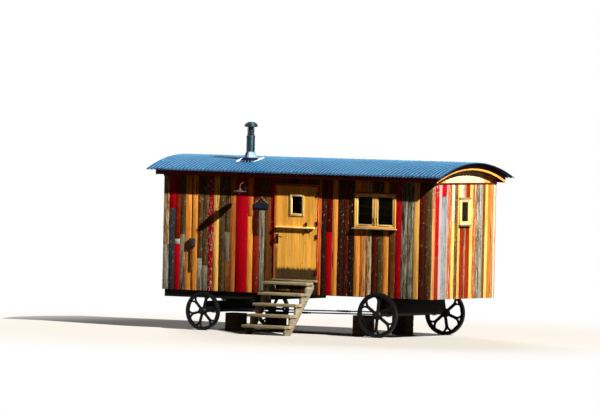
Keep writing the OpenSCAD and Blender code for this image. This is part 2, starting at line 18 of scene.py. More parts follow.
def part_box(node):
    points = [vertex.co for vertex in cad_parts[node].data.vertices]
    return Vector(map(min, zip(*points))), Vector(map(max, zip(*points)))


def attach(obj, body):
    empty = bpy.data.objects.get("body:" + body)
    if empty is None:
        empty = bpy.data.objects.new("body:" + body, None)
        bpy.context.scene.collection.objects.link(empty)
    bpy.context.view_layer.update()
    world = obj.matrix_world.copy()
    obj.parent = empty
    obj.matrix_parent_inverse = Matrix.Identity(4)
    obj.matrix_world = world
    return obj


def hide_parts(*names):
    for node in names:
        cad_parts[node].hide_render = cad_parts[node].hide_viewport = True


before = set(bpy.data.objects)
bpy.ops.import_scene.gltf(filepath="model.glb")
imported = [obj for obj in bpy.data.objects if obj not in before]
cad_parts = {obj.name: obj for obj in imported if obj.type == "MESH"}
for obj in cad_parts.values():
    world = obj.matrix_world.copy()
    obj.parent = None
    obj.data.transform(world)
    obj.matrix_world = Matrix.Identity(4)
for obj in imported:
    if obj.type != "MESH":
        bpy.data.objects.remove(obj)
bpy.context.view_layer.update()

# %% [markdown]
# The camera comes first, because it decides which details count. The hut was seen from far away
# through a long lens, about 31 degrees round from the door wall and almost level, in a picture that
# leans a little. A camera could be turned by eye until it looks right. Here it is placed by its
# angles and by one known point of the hut and the pixel where that point belongs, so it stays true.

# %% Set the camera
PICTURE_WIDTH = 600
LENS_MM = 453.5
SENSOR_MM = 36
AZIMUTH = math.radians(31.05)
ELEVATION = math.radians(1.48)
ROLL = math.radians(1.241)
DISTANCE = 134.27
KNOWN_POINT = Vector((-0.02, 0.386, 1.6))
# Where the known point is seen, in pixels right of and below the middle of the picture
SEEN_RIGHT, SEEN_BELOW = 26.83, 37.2

back = Vector((math.sin(AZIMUTH) * math.cos(ELEVATION), -math.cos(AZIMUTH) * math.cos(ELEVATION),
               math.sin(ELEVATION)))
level_right = Vector((math.cos(AZIMUTH), math.sin(AZIMUTH), 0))
level_up = back.cross(level_right)
right = level_right * math.cos(ROLL) + level_up * math.sin(ROLL)
up = level_up * math.cos(ROLL) - level_right * math.sin(ROLL)
focal_pixels = LENS_MM / SENSOR_MM * PICTURE_WIDTH
sight = (-back * focal_pixels - right * SEEN_RIGHT + up * SEEN_BELOW).normalized()
side = sight.cross(up).normalized()
bpy.ops.object.camera_add(location=KNOWN_POINT + back * DISTANCE)
camera = bpy.context.object
camera.name = "camera"
camera.rotation_euler = Matrix((side, side.cross(sight), -sight)).transposed().to_euler()
camera.data.lens = LENS_MM
camera.data.sensor_width = SENSOR_MM
camera.data.clip_start, camera.data.clip_end = 1, 1000
scene = bpy.context.scene
scene.camera = camera
scene.view_settings.view_transform = "Standard"
print("camera at", [round(c, 2) for c in camera.location])

# %% [markdown]
# Materials are graphs of nodes. Wiring them one line at a time is long, so short helpers come first.
# They turn a paint-chart colour into the linear values that shaders work in, add a node and fill or
# link its sockets, and start a material with its shader. A material also notes the slot that the
# pieces made of it belong to.

# %% Helpers for materials
SLOTS = {}


def tone(red, green, blue):
    """A colour from 0 to 255, as a paint chart gives it, in the linear values of a shader."""
    return tuple(((c / 255 + 0.055) / 1.055) ** 2.4 for c in (red, green, blue)) + (1.0,)


def add(tree, kind, sockets=None, **settings):
    """Adds a node. A socket given as a value is linked, and any other value is set."""
    made = tree.nodes.new("ShaderNode" + kind)
    for name, value in settings.items():
        setattr(made, name, value)
    for key, value in (sockets or {}).items():
        if isinstance(value, bpy.types.NodeSocket):
            tree.links.new(value, made.inputs[key])
        else:
            made.inputs[key].default_value = value
    return made


def surface(name, slot=None, **sockets):
    """Starts a material: returns it with its tree and its shader."""
    material = bpy.data.materials.new(name)
    SLOTS[material.name] = slot
    material.use_nodes = True
    tree = material.node_tree
    tree.nodes.clear()
    shader = add(tree, "BsdfPrincipled", {key.replace("_", " "): v for key, v in sockets.items()})
    add(tree, "OutputMaterial", {"Surface": shader.outputs[0]})
    return material, tree, shader


print("a mid grey of 128 is", round(tone(128, 128, 128)[0], 3), "in linear values")

# %% [markdown]
# A few nodes are part of almost every finish: a cloudy noise, a soft step between two values, sums,
# one colour laid over another, and a bump. Each gets a helper with a plain name.

# %% Helpers for patterns
def noise(tree, place, scale, detail=4.0, roughness=0.55, stretch=(1, 1, 1)):
    """A cloudy value from 0 to 1, with the pattern squeezed along an axis where stretch is large."""
    laid = add(tree, "Mapping", {"Vector": place, "Scale": stretch}).outputs[0]
    return add(tree, "TexNoise", {"Vector": laid, "Scale": scale, "Detail": detail,
                                  "Roughness": roughness}).outputs[0]


def between(tree, value, low, high, first=0.0, last=1.0):
    """Turns a value into a share: first below low, last above high, and smooth between."""
    return add(tree, "MapRange", {0: value, 1: low, 2: high, 3: first, 4: last},
               interpolation_type="SMOOTHSTEP").outputs[0]


def maths(tree, operation, first, second=0.0):
    return add(tree, "Math", {0: first, 1: second}, operation=operation).outputs[0]


def mixed(tree, share, first, second, how="MIX"):
    """One colour laid over another."""
    return add(tree, "Mix", {0: share, 6: first, 7: second}, data_type="RGBA",
               blend_type=how).outputs[2]


def raised(tree, shader, height, depth, strength=1.0):
    """Gives a shader a bumpy surface, depth metres from low to high."""
    bump = add(tree, "Bump", {"Height": height, "Distance": depth, "Strength": strength})
    tree.links.new(bump.outputs[0], shader.inputs["Normal"])


def to_shader(tree, shader, **sockets):
    for name, value in sockets.items():
        tree.links.new(value, shader.inputs[name.replace("_", " ")])


# %% [markdown]
# Low, clear sun from the right lights the gable fully and the door wall at a slant, so the eaves
# and the lamp throw long shadows on the boards. One narrow sun lamp gives those shadows their edge,
# a weak warm world fills them, and a second, broad and weak sun behind the hut keeps its far sides
# legible. To the camera and in reflections the world is plain white instead.

# %% Light the hut
TO_SUN = Vector((3.1, -1, 2.29))
SUN_STRENGTH, SUN_WIDTH, SUN_COLOR = 9.3, 0.8, (1.0, 0.94, 0.86)
TO_BACK_SUN = Vector((-1.6, 1.9, 1.3))
BACK_STRENGTH, BACK_WIDTH = 1.8, 20
FILL_STRENGTH, FILL_COLOR = 0.034, (1.0, 0.78, 0.68, 1)
WHITE = (1, 1, 1, 1)


def sun_lamp(toward, strength, width, color=(1, 1, 1)):
    """A sun that stands in one direction. The wider it is, in degrees, the softer its shadows."""
    bpy.ops.object.light_add(type="SUN", location=toward * 5)
    lamp = bpy.context.object
    lamp.rotation_euler = (-toward).to_track_quat("-Z", "Y").to_euler()
    lamp.data.energy, lamp.data.angle, lamp.data.color = strength, math.radians(width), color


def seen_directly(tree):
    """1 for the camera and for reflections and clear glass, 0 for the light that falls on things."""
    path = add(tree, "LightPath").outputs
    seen = maths(tree, "MAXIMUM", path["Is Camera Ray"], path["Is Glossy Ray"])
    return maths(tree, "MAXIMUM", seen, path["Is Transmission Ray"])


sun_lamp(TO_SUN, SUN_STRENGTH, SUN_WIDTH, SUN_COLOR)
sun_lamp(TO_BACK_SUN, BACK_STRENGTH, BACK_WIDTH)
world = bpy.data.worlds.new("studio")
scene.world = world
world.use_nodes = True
sky = world.node_tree
sky.nodes.clear()
fill = add(sky, "Background", {"Color": FILL_COLOR, "Strength": FILL_STRENGTH})
white = add(sky, "Background", {"Color": WHITE})
choice = add(sky, "MixShader", {0: seen_directly(sky), 1: fill.outputs[0], 2: white.outputs[0]})
add(sky, "OutputWorld", {"Surface": choice.outputs[0]})
print("the sun stands", round(math.degrees(math.asin(TO_SUN.normalized().z))), "degrees high")

# %% [markdown]
# The floor is a large disc that turns to plain white away from the hut, for the camera and for
# reflections only, so no horizon shows and the hut keeps its own shadow. It throws less light back
# up than it shows, because a pale floor would wash out the shade under the eaves.

# %% Lay the studio floor
FLOOR_TONE = tone(186, 185, 183)
FLOOR_BOUNCE = tone(48, 38, 33)
FLOOR_RADIUS = 60
FADE_START, FADE_END = 4.5, 11

bpy.ops.mesh.primitive_circle_add(vertices=96, radius=FLOOR_RADIUS, fill_type="NGON")
floor = bpy.context.object
floor.name = "studio_floor"
stone, tree, shader = surface("studio_floor", Roughness=0.9, Specular_IOR_Level=0.0)
away = add(tree, "VectorMath", {0: add(tree, "TexCoord").outputs["Object"]},
           operation="LENGTH").outputs["Value"]
seen = seen_directly(tree)
to_shader(tree, shader, Base_Color=mixed(tree, seen, FLOOR_BOUNCE, FLOOR_TONE))
fade = maths(tree, "MULTIPLY", between(tree, away, FADE_START, FADE_END), seen)
glow = add(tree, "Emission", {"Color": WHITE})
over = add(tree, "MixShader", {0: fade, 1: shader.outputs[0], 2: glow.outputs[0]})
tree.links.new(over.outputs[0], tree.nodes["Material Output"].inputs["Surface"])
floor.data.materials.append(stone)
print("the floor fades to white from", FADE_START, "to", FADE_END, "metres")

# %% [markdown]
# Timber has one pattern whatever its colour: fine grain along the piece, broad changes of tone, and
# knots. A texture could be turned by hand for each piece. Instead every face stores which way its
# piece is long, as a stretch of the coordinates, and a number of its own, so one material serves
# rails, stiles, bows and boards, and no two boards look alike.

# %% Read each piece's grain from its shape
random.seed(1885)
LONG, SHORT = 0.055, 1.0


def islands(mesh):
    """The group number of each face, where faces that share a corner are one group."""
    parent = list(range(len(mesh.vertices)))

    def root(i):
        while parent[i] != i:
            parent[i] = parent[parent[i]]
            i = parent[i]
        return i

    for edge in mesh.edges:
        a, b = root(edge.vertices[0]), root(edge.vertices[1])
        parent[a] = b
    return [root(face.vertices[0]) for face in mesh.polygons]


def grain(piece):
    """Stores a stretch along the longest side and a number of its own for each loose part."""
    mesh = piece.data
    groups = islands(mesh)
    low, high = {}, {}
    for face, group in zip(mesh.polygons, groups):
        for v in face.vertices:
            co = mesh.vertices[v].co
            low[group] = co.copy() if group not in low else Vector(map(min, low[group], co))
            high[group] = co.copy() if group not in high else Vector(map(max, high[group], co))
    lie, own = {}, {}
    for group in low:
        size = high[group] - low[group]
        longest = max(range(3), key=lambda k: size[k])
        lie[group] = [LONG if k == longest else SHORT for k in range(3)]
        own[group] = random.random()
    stretch = mesh.attributes.new("stretch", "FLOAT_VECTOR", "FACE")
    stretch.data.foreach_set("vector", [c for group in groups for c in lie[group]])
    mesh.attributes.new("own", "FLOAT", "FACE").data.foreach_set("value", [own[g] for g in groups])
    return piece


print("grain is", round(SHORT / LONG), "times longer than it is wide")

# %% [markdown]
# The pattern is three noises from fine to broad, and cells whose middles are the knots. All of them
# are read from the stretched coordinates, shifted by the piece's own number.

# %% Draw the pattern of wood
# How far a piece's own number, from 0 to 1, shifts its pattern along X, Y and Z
OWN_SHIFTS = (17.3, 41.9, 73.1)


def wood_pattern(tree):
    """The sockets of the pattern: grain from fine to broad, knots, and the place they are laid in."""
    lie = add(tree, "Attribute", attribute_name="stretch").outputs["Vector"]
    own = add(tree, "Attribute", attribute_name="own").outputs["Fac"]
    place = add(tree, "TexCoord").outputs["Object"]
    shift = add(tree, "CombineXYZ", {axis: maths(tree, "MULTIPLY", own, far)
                                     for axis, far in enumerate(OWN_SHIFTS)}).outputs[0]
    moved = add(tree, "VectorMath", {0: place, 1: shift}, operation="ADD").outputs[0]
    laid = add(tree, "VectorMath", {0: moved, 1: lie}, operation="MULTIPLY").outputs[0]
    fine = noise(tree, laid, 150, 5, 0.65)
    bands = noise(tree, laid, 48, 4, 0.6)
    broad = noise(tree, laid, 22, 3)
    ring = add(tree, "TexVoronoi", {"Vector": laid, "Scale": 13.0}).outputs["Distance"]
    knots = between(tree, ring, 0.10, 0.19, 1.0, 0.0)
    return {"fine": fine, "bands": bands, "broad": broad, "knots": knots, "own": own,
            "laid": laid, "place": place}


# %% [markdown]
# A timber lays that pattern between a light and a dark tone: first the streaks, then the clouds, a
# tone of its own for each piece and last the knots. One flat colour would look like plastic.

# %% Mix a timber
def timber_mix(name, slot, light, painted_shade_tone, knots=0.6, roughness=0.62, depth=0.0012, contrast=1.0,
               variety=0.22):
    """Sawn or planed wood between two tones, with what is needed to mix something more into it."""
    material, tree, shader = surface(name, slot, Roughness=roughness, Specular_IOR_Level=0.06)
    wood = wood_pattern(tree)
    streaks = between(tree, wood["fine"], 0.36, 0.66)
    color = mixed(tree, maths(tree, "MULTIPLY", streaks, 0.75 * contrast), tone(*light), tone(*painted_shade_tone))
    clouds = between(tree, wood["broad"], 0.3, 0.7, 1.0 - 0.25 * contrast, 1.12)
    color = mixed(tree, 1.0, color, clouds, "MULTIPLY")
    apart = between(tree, wood["own"], 0.0, 1.0, 1.0 - variety, 1.0 + variety / 2)
    color = mixed(tree, 1.0, color, apart, "MULTIPLY")
    spots = maths(tree, "MULTIPLY", wood["knots"], knots)
    color = mixed(tree, spots, color, mixed(tree, 0.65, tone(*painted_shade_tone), tone(40, 20, 8)))
    to_shader(tree, shader, Base_Color=color)
    raised(tree, shader, maths(tree, "SUBTRACT", wood["broad"], streaks), depth, 0.6)
    return material, tree, shader, color, wood


def timber(*tones, **settings):
    """A wood that needs nothing more."""
    return timber_mix(*tones, **settings)[0]


# %% [markdown]
# The window frames are warm oiled pine, the trim is redder, the bows and the deck are dark sawn
# boards, the beams under the hut are stained almost black, and the steps have gone pale and dry in
# the weather. Each is the same pattern between two tones, so a line is enough for each.

# %% Mix the timbers
PINE = timber("oiled_pine", "pine", (255, 190, 82), (250, 154, 50), knots=0.4, contrast=0.7,
              variety=0.12)
CREAM_PINE = timber("cream_pine", "pine", (250, 222, 150), (226, 178, 96), knots=0.25)
TRIM = timber("reddish_pine", "trim", (226, 116, 40), (160, 62, 18), knots=0.5)
# A dark red-brown stain; on the casement head it is painted shade, for the eaves' shade on it
RAIL_STAIN_AND_SHADE = timber("dark_red_rail", "trim", (112, 44, 26), (62, 22, 14), knots=0.3)
# The fascia's dark tone is partly its real stain and partly painted shade from the sheet over it
STAINED_AND_SHADED = timber("stained_fascia", "trim", (128, 44, 20), (78, 22, 10), knots=0.3)
LINING = timber("lining_pine", "floor_boards", (214, 172, 116), (170, 118, 66), knots=0.7)
FLOORING = timber("floor_boards", "floor_boards", (176, 128, 78), (120, 80, 44), knots=0.7)
ROOF_TIMBER = timber("roof_timber", "roof_timber", (120, 70, 36), (66, 34, 18), knots=0.5)
FRAME_TIMBER = timber("dark_beams", "frame_timber", (34, 28, 25), (15, 12, 11), knots=0.4,
                      roughness=0.75)
STEP_TIMBER = timber("weathered_steps", "step_timber", (162, 150, 117), (84, 70, 47),
                     roughness=0.85, depth=0.002)
STRINGER_TIMBER = timber("weathered_stringers", "step_timber", (160, 152, 130), (92, 84, 66),
                         knots=0.5, roughness=0.85)
BLOCK_TIMBER = timber("weathered_blocks", "block_timber", (176, 150, 138), (104, 80, 70),
                      knots=0.5, roughness=0.85, depth=0.003)
print("mixed", len(bpy.data.materials), "materials so far")

# %% [markdown]
# The door is pine too, but use and weather show on it. Rain that splashes off the top step has
# turned the foot of the lower leaf grey, in a ragged line that follows the grain, hands have
# darkened the strip beside the lever, and a few knots show. Each could be a stain painted by hand.
# Here each asks where a point is on the door, so it stays on the door as the door opens.

# %% Mix the pine of the door
SPLASH_LOW, SPLASH_TOP, RAGGED = 1.135, 1.195, 0.022
HANDLED_X, HANDLED_Z = (-0.380, -0.345), (1.50, 1.58)
KNOT_SQUASH = 0.4
# Where the knots are, across and up, and their radius across
DOOR_KNOTS = ((0.150, 1.262, 0.010), (-0.110, 1.392, 0.008), (0.205, 1.62, 0.007),
              (-0.250, 1.70, 0.007))

DOOR_PINE, tree, shader, color, wood = timber_mix(
    "door_pine", "pine", (255, 196, 86), (250, 158, 54), knots=0.7, contrast=0.7, variety=0.12)
where = add(tree, "SeparateXYZ", {0: wood["place"]}).outputs
ragged = maths(tree, "ADD", where["Z"], between(tree, wood["bands"], 0.3, 0.7, -RAGGED, RAGGED))
splashed = between(tree, ragged, SPLASH_LOW, SPLASH_TOP, 0.97, 0.0)
grey = mixed(tree, between(tree, wood["fine"], 0.35, 0.65), tone(20, 15, 12), tone(70, 58, 40))
color = mixed(tree, splashed, color, grey)
handled = maths(tree, "MULTIPLY", between(tree, where["X"], *HANDLED_X, 0.8, 0.0),
                between(tree, where["Z"], *HANDLED_Z, 1.0, 0.0))
color = mixed(tree, handled, color, tone(92, 66, 38))
flat = add(tree, "VectorMath", {0: wood["place"], 1: (1, 0, KNOT_SQUASH)},
           operation="MULTIPLY").outputs[0]
for x, z, wide in DOOR_KNOTS:
    off = add(tree, "VectorMath", {0: flat, 1: (x, 0, z * KNOT_SQUASH)},
              operation="DISTANCE").outputs["Value"]
    ringed = between(tree, off, wide * 0.4, wide, 0.85, 0.0)
    color = mixed(tree, ringed, color, tone(120, 48, 12))
to_shader(tree, shader, Base_Color=color)
print("the door is grey up to", SPLASH_TOP, "metres and has", len(DOOR_KNOTS), "knots")

# %% [markdown]
# Metals and the rest are plainer: two near tones in clouds, a roughness and sometimes a fine bump.
# Cast iron and black iron differ only in how fine their grain is. The flue is polished steel that
# was brushed round its axis, which draws its shine out into an upright streak, so its shader is
# given some anisotropy. Its base colour is a dark teal: a painted reflection of dark green
# surroundings, since the world it reflects is plain white. Clear glass lets the dark room show
# through.

# %% Mix the metals, the slate and the glass
def coated(name, slot, light, painted_shade_tone, scale, roughness, metallic=0.0, depth=0.0, shine=0.5):
    """A material of one substance with a cloudy change between two near tones."""
    material, tree, shader = surface(name, slot, Metallic=metallic, Specular_IOR_Level=shine)
    place = add(tree, "TexCoord").outputs["Object"]
    cloud = noise(tree, place, scale, 6, 0.6)
    share = between(tree, cloud, 0.32, 0.68)
    to_shader(tree, shader, Base_Color=mixed(tree, share, tone(*light), tone(*painted_shade_tone)),
              Roughness=between(tree, cloud, 0.3, 0.7, roughness, min(roughness + 0.15, 1.0)))
    if depth:
        raised(tree, shader, noise(tree, place, scale * 12, 3), depth, 0.6)
    return material


CAST_IRON = coated("cast_iron", "cast_iron", (15, 15, 18), (8, 7, 8), 12, 0.4, depth=0.0008,
                   shine=0.1)
BLACK_IRON = coated("black_iron", "black_iron", (22, 21, 22), (12, 11, 12), 30, 0.4,
                    depth=0.0003, shine=0.12)
# Painted reflection: the steel's dark teal tones stand in for the dark surroundings it reflects
STEEL_PAINTED_REFLECTION = coated("polished_steel", "polished_steel", (58, 82, 88), (42, 64, 72), 8, 0.5,
               metallic=1.0)
brushed = STEEL_PAINTED_REFLECTION.node_tree.nodes["Principled BSDF"].inputs
brushed["Anisotropic"].default_value = 0.75
brushed["Anisotropic Rotation"].default_value = 0.25
BRIGHT_STEEL = coated("bright_steel", "polished_steel", (226, 232, 238), (200, 208, 216), 8, 0.3,
                      metallic=0.7)
ZINC = coated("folded_zinc", "polished_steel", (140, 162, 188), (110, 134, 162), 8, 0.45,
              metallic=0.4)
DARK_STEEL = coated("dark_mesh_steel", "polished_steel", (58, 56, 58), (34, 32, 34), 40, 0.4,
                    metallic=0.8)
RUBBER = coated("navy_boot", "black_rubber", (14, 22, 62), (8, 12, 36), 20, 0.5, depth=0.0004,
                shine=0.1)
# The lamp's shade, neck and bulb are written dark: painted shade, for the eaves' shade they hang in
LAMP_GREY_SHADED = coated("lamp_grey", "lamp_metal", (74, 58, 58), (52, 42, 42), 30, 0.5,
                   depth=0.0003, shine=0.2)
LAMP_NECK_SHADED = coated("lamp_neck", "lamp_metal", (84, 72, 72), (60, 50, 50), 30, 0.4,
                   depth=0.0003, shine=0.3)
LAMP_BULB_SHADED = coated("lamp_bulb", "lamp_metal", (64, 50, 48), (46, 36, 34), 30, 0.4)
SLATE = coated("riven_slate", "slate", (32, 40, 58), (16, 22, 36), 14, 0.55, depth=0.003,
               shine=0.1)
BOX_GREY = coated("dark_box", "grey_box", (52, 56, 50), (32, 35, 32), 30, 0.5, depth=0.0003,
                  shine=0.1)
CORD_PALE = coated("pale_cord", "slate", (200, 192, 176), (150, 140, 122), 90, 0.8)
GLASS = surface("window_glass", Base_Color=(0.5, 0.53, 0.5, 1), Roughness=0.03, IOR=1.06,
                Transmission_Weight=1.0)[0]
print("mixed", len(bpy.data.materials), "materials so far")

# %% [markdown]
# Dust lies in the troughs of the roof sheet and rain has washed its crests clean. The crests are
# also made lighter as a painted highlight, and the troughs darker as painted shade. So the colour
# follows the wave: a cosine of the place along the hut gives the share of each tone. Near both eaves
# the ends of the crests are painted almost black. This is painted shade for the hollows under the
# crests, and it draws the scallops of the edge.

# %% Weather the roof coating
PITCH = 0.0762
sheet_low, sheet_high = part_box("roof_sheet")
SHEET_LEFT, SHEET_RIGHT = sheet_low.x, sheet_high.x
PAINTED_SHADE_FULL, PAINTED_SHADE_END = 0.045, 0.06

ROOF_COAT, tree, shader = surface("blue_roof_coating", "corrugated_sheet", Roughness=0.5,
                                  Specular_IOR_Level=0.04)
place = add(tree, "TexCoord").outputs["Object"]
spot = add(tree, "SeparateXYZ", {0: place}).outputs
along = maths(tree, "SUBTRACT", spot["X"], SHEET_LEFT)
wave = maths(tree, "COSINE", maths(tree, "MULTIPLY", along, 2 * math.pi / PITCH))
# Lighter crests are washed coat and painted highlight; darker troughs are dust and painted shade
crest_wash_and_highlight = between(tree, wave, -0.3, 0.9)
cloud = between(tree, noise(tree, place, 1.2, 5, 0.6), 0.3, 0.7)
clean_and_lit = mixed(tree, cloud, tone(54, 118, 156), tone(46, 106, 145))
dusty_and_shaded = mixed(tree, cloud, tone(28, 64, 101), tone(22, 56, 91))
to_edge = maths(tree, "MINIMUM", maths(tree, "SUBTRACT", spot["Y"], sheet_low.y),
                maths(tree, "SUBTRACT", sheet_high.y, spot["Y"]))
# Painted shade: near both eaves the ends of the crests turn almost black
painted_shade_at_eaves = maths(tree, "MULTIPLY", between(tree, to_edge, PAINTED_SHADE_FULL, PAINTED_SHADE_END, 0.95, 0.0),
              between(tree, wave, -0.1, 0.3))
color = mixed(tree, painted_shade_at_eaves, mixed(tree, crest_wash_and_highlight, dusty_and_shaded, clean_and_lit), tone(16, 10, 10))
to_shader(tree, shader, Base_Color=color)
print("the roof has", round((SHEET_RIGHT - SHEET_LEFT) / PITCH), "waves")

# %% [markdown]
# Most pieces of a hut are squared timbers with eased edges, because a saw-sharp edge catches no
# light and looks false. A cube could be scaled for each. Here the helper adds any number of boxes to
# one mesh in edit mode and bevels them together, which is quick and keeps a wall of boards as one
# piece.

# %% Shape squared timbers
def alone(piece):
    """Selects one piece and nothing else, because an operator acts on all that is selected."""
    bpy.ops.object.select_all(action="DESELECT")
    piece.select_set(True)
    bpy.context.view_layer.objects.active = piece
    return piece


def new_piece(points=(), edges=(), faces=()):
    mesh = bpy.data.meshes.new("piece")
    mesh.from_pydata(points, edges, faces)
    piece = bpy.data.objects.new("piece", mesh)
    scene.collection.objects.link(piece)
    return alone(piece)


def blocks(corners, ease=0.003, steps=2):
    """One mesh of squared pieces, each given by two opposite corners, with eased edges."""
    piece = new_piece()
    bpy.ops.object.mode_set(mode="EDIT")
    for first, second in corners:
        first, second = Vector(first), Vector(second)
        size = Vector([abs(c) for c in second - first])
        bpy.ops.mesh.primitive_cube_add(size=1, location=(first + second) / 2, scale=size)
    bpy.ops.mesh.select_all(action="SELECT")
    if ease:
        bpy.ops.mesh.bevel(offset=ease, segments=steps)
    bpy.ops.object.mode_set(mode="OBJECT")
    return piece


# %% [markdown]
# Rods, hubs, shades and pipes are turned or bent. A rod is a cylinder between two points. What is
# turned on a lathe is drawn as half of its section and spun round its axis. What is bent follows a
# curve with a round section, which is then made a mesh.

# %% Turn and bend
def ease_edges(piece, width, segments, angle):
    """Rounds the edges where faces meet at more than an angle in degrees."""
    eased = piece.modifiers.new("ease", "BEVEL")
    eased.width, eased.segments = width, segments
    eased.limit_method, eased.angle_limit = "ANGLE", math.radians(angle)
    bpy.ops.object.modifier_apply(modifier="ease")


def rod(start, end, radius, sides=24, ease=0.0):
    """A round bar between two points, with eased ends."""
    start, end = Vector(start), Vector(end)
    bpy.ops.object.select_all(action="DESELECT")
    bpy.ops.mesh.primitive_cone_add(
        vertices=sides, radius1=radius, radius2=radius, depth=(end - start).length,
        location=(start + end) / 2, rotation=(end - start).to_track_quat("Z", "Y").to_euler())
    piece = bpy.context.object
    bpy.ops.object.transform_apply()
    if ease:
        ease_edges(piece, ease, 2, 50)
    return piece


def spun(profile, centre, axis=(0, 0, 1), steps=48):
    """A turned shape: a profile of (radius, height) points spun round an axis through the centre."""
    centre, axis = Vector(centre), Vector(axis).normalized()
    out = Vector((1, 0, 0)) if abs(axis.x) < 0.9 else Vector((0, 1, 0))
    points = [centre + out * r + axis * h for r, h in profile]
    piece = new_piece(points, [(i, i + 1) for i in range(len(points) - 1)])
    bpy.ops.object.mode_set(mode="EDIT")
    bpy.ops.mesh.select_all(action="SELECT")
    bpy.ops.mesh.spin(steps=steps, angle=2 * math.pi, center=centre, axis=axis)
    bpy.ops.mesh.select_all(action="SELECT")
    bpy.ops.mesh.remove_doubles(threshold=0.00005)
    bpy.ops.mesh.normals_make_consistent(inside=False)
    bpy.ops.object.mode_set(mode="OBJECT")
    return piece


def tube(points, radius, sides=12, smooth=True):
    """A bent tube along a line of points: a curve with a round section, turned to a mesh."""
    curve = bpy.data.curves.new("bend", "CURVE")
    curve.dimensions = "3D"
    curve.bevel_depth, curve.bevel_resolution = radius, sides // 4
    curve.use_fill_caps = True
    line = curve.splines.new("NURBS" if smooth else "POLY")
    line.points.add(len(points) - 1)
    for spot, point in zip(line.points, points):
        spot.co = (*point, 1)
    if smooth:
        line.use_endpoint_u, line.order_u, line.resolution_u = True, 4, 6
    piece = bpy.data.objects.new("bend", curve)
    scene.collection.objects.link(piece)
    alone(piece)
    bpy.ops.object.convert(target="MESH")
    return bpy.context.object


# %% [markdown]
# What repeats, such as a nail, is modelled once and copied to all its places in one mesh. Loose
# shapes are joined to one piece, and an opening is cut with a block of its size.

# %% Join, repeat and cut
def facing(direction):
    """The turn that makes a shape drawn along Z point in a direction."""
    return Vector(direction).to_track_quat("Z", "Y").to_matrix().to_4x4()


def joined(pieces):
    alone(pieces[0])
    for piece in pieces[1:]:
        piece.select_set(True)
    if len(pieces) > 1:
        bpy.ops.object.join()
    return pieces[0]


def repeated(model, places):
    """One mesh that holds the model at each place. A place is a point or a matrix."""
    gathered = bmesh.new()
    for where in places:
        mesh = model.data.copy()
        mesh.transform(where if isinstance(where, Matrix) else Matrix.Translation(where))
        gathered.from_mesh(mesh)
        bpy.data.meshes.remove(mesh)
    piece = new_piece()
    gathered.to_mesh(piece.data)
    gathered.free()
    bpy.data.objects.remove(model)
    return alone(piece)


def cut(piece, cutter, how="DIFFERENCE"):
    """Cuts one piece with another, or keeps only what both share, and removes the cutter."""
    alone(piece)
    knife = piece.modifiers.new("cut", "BOOLEAN")
    knife.operation, knife.solver, knife.object = how, "EXACT", cutter
    bpy.ops.object.modifier_apply(modifier="cut")
    bpy.data.objects.remove(cutter)
    return piece


# %% [markdown]
# Every piece is finished in the same way. It gets its name, smooth shading over its blunt edges,
# its material and its grain. It rides on one body of the frame and moves with it, and where it
# stands for a plain CAD solid, that solid is hidden. A solid that has the right shape already is
# copied, merged and eased.

# %% Helpers for finishing
def finished(piece, name, material, node=None, body="hut", smooth=35, slot=None):
    """Names a piece, gives it its material and grain, and lets it ride on a body of the frame."""
    alone(piece)
    bpy.ops.object.transform_apply()
    bpy.ops.object.shade_smooth_by_angle(angle=math.radians(smooth))
    piece.name = piece.data.name = name
    piece.data.materials.clear()
    piece.data.materials.append(material)
    if "stretch" not in piece.data.attributes:
        grain(piece)
    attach(piece, body)
    slot or SLOTS[material.name]
    if node:
        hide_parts(node)
    print(name, "has", len(piece.data.polygons), "faces")
    return piece


def eased_copy(node, ease=0.004):
    """A copy of a CAD solid, merged, with its flat faces whole again and its edges eased."""
    piece = new_piece()
    piece.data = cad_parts[node].data.copy()
    bpy.ops.object.mode_set(mode="EDIT")
    bpy.ops.mesh.select_all(action="SELECT")
    bpy.ops.mesh.remove_doubles(threshold=0.00001)
    bpy.ops.mesh.dissolve_limited(angle_limit=math.radians(0.2))
    bpy.ops.object.mode_set(mode="OBJECT")
    ease_edges(piece, ease, 2, 35)
    return piece


def refined(node, name, material, ease, body="hut"):
    """A CAD solid that has the right shape, with its edges eased."""
    return finished(eased_copy(node, ease), name, material, node, body)


# %% [markdown]
# The walls are clad with reclaimed boards about 115 mm wide, no two alike: some keep a thick coat
# of red, some have flaked to their undercoat, and some are bare pine or weathered grey. A finish is
# written down as its paint, how much of the paint is left, the wood under it, how knotty that is,
# and how battered the board is. One material then reads those values from each board's faces.

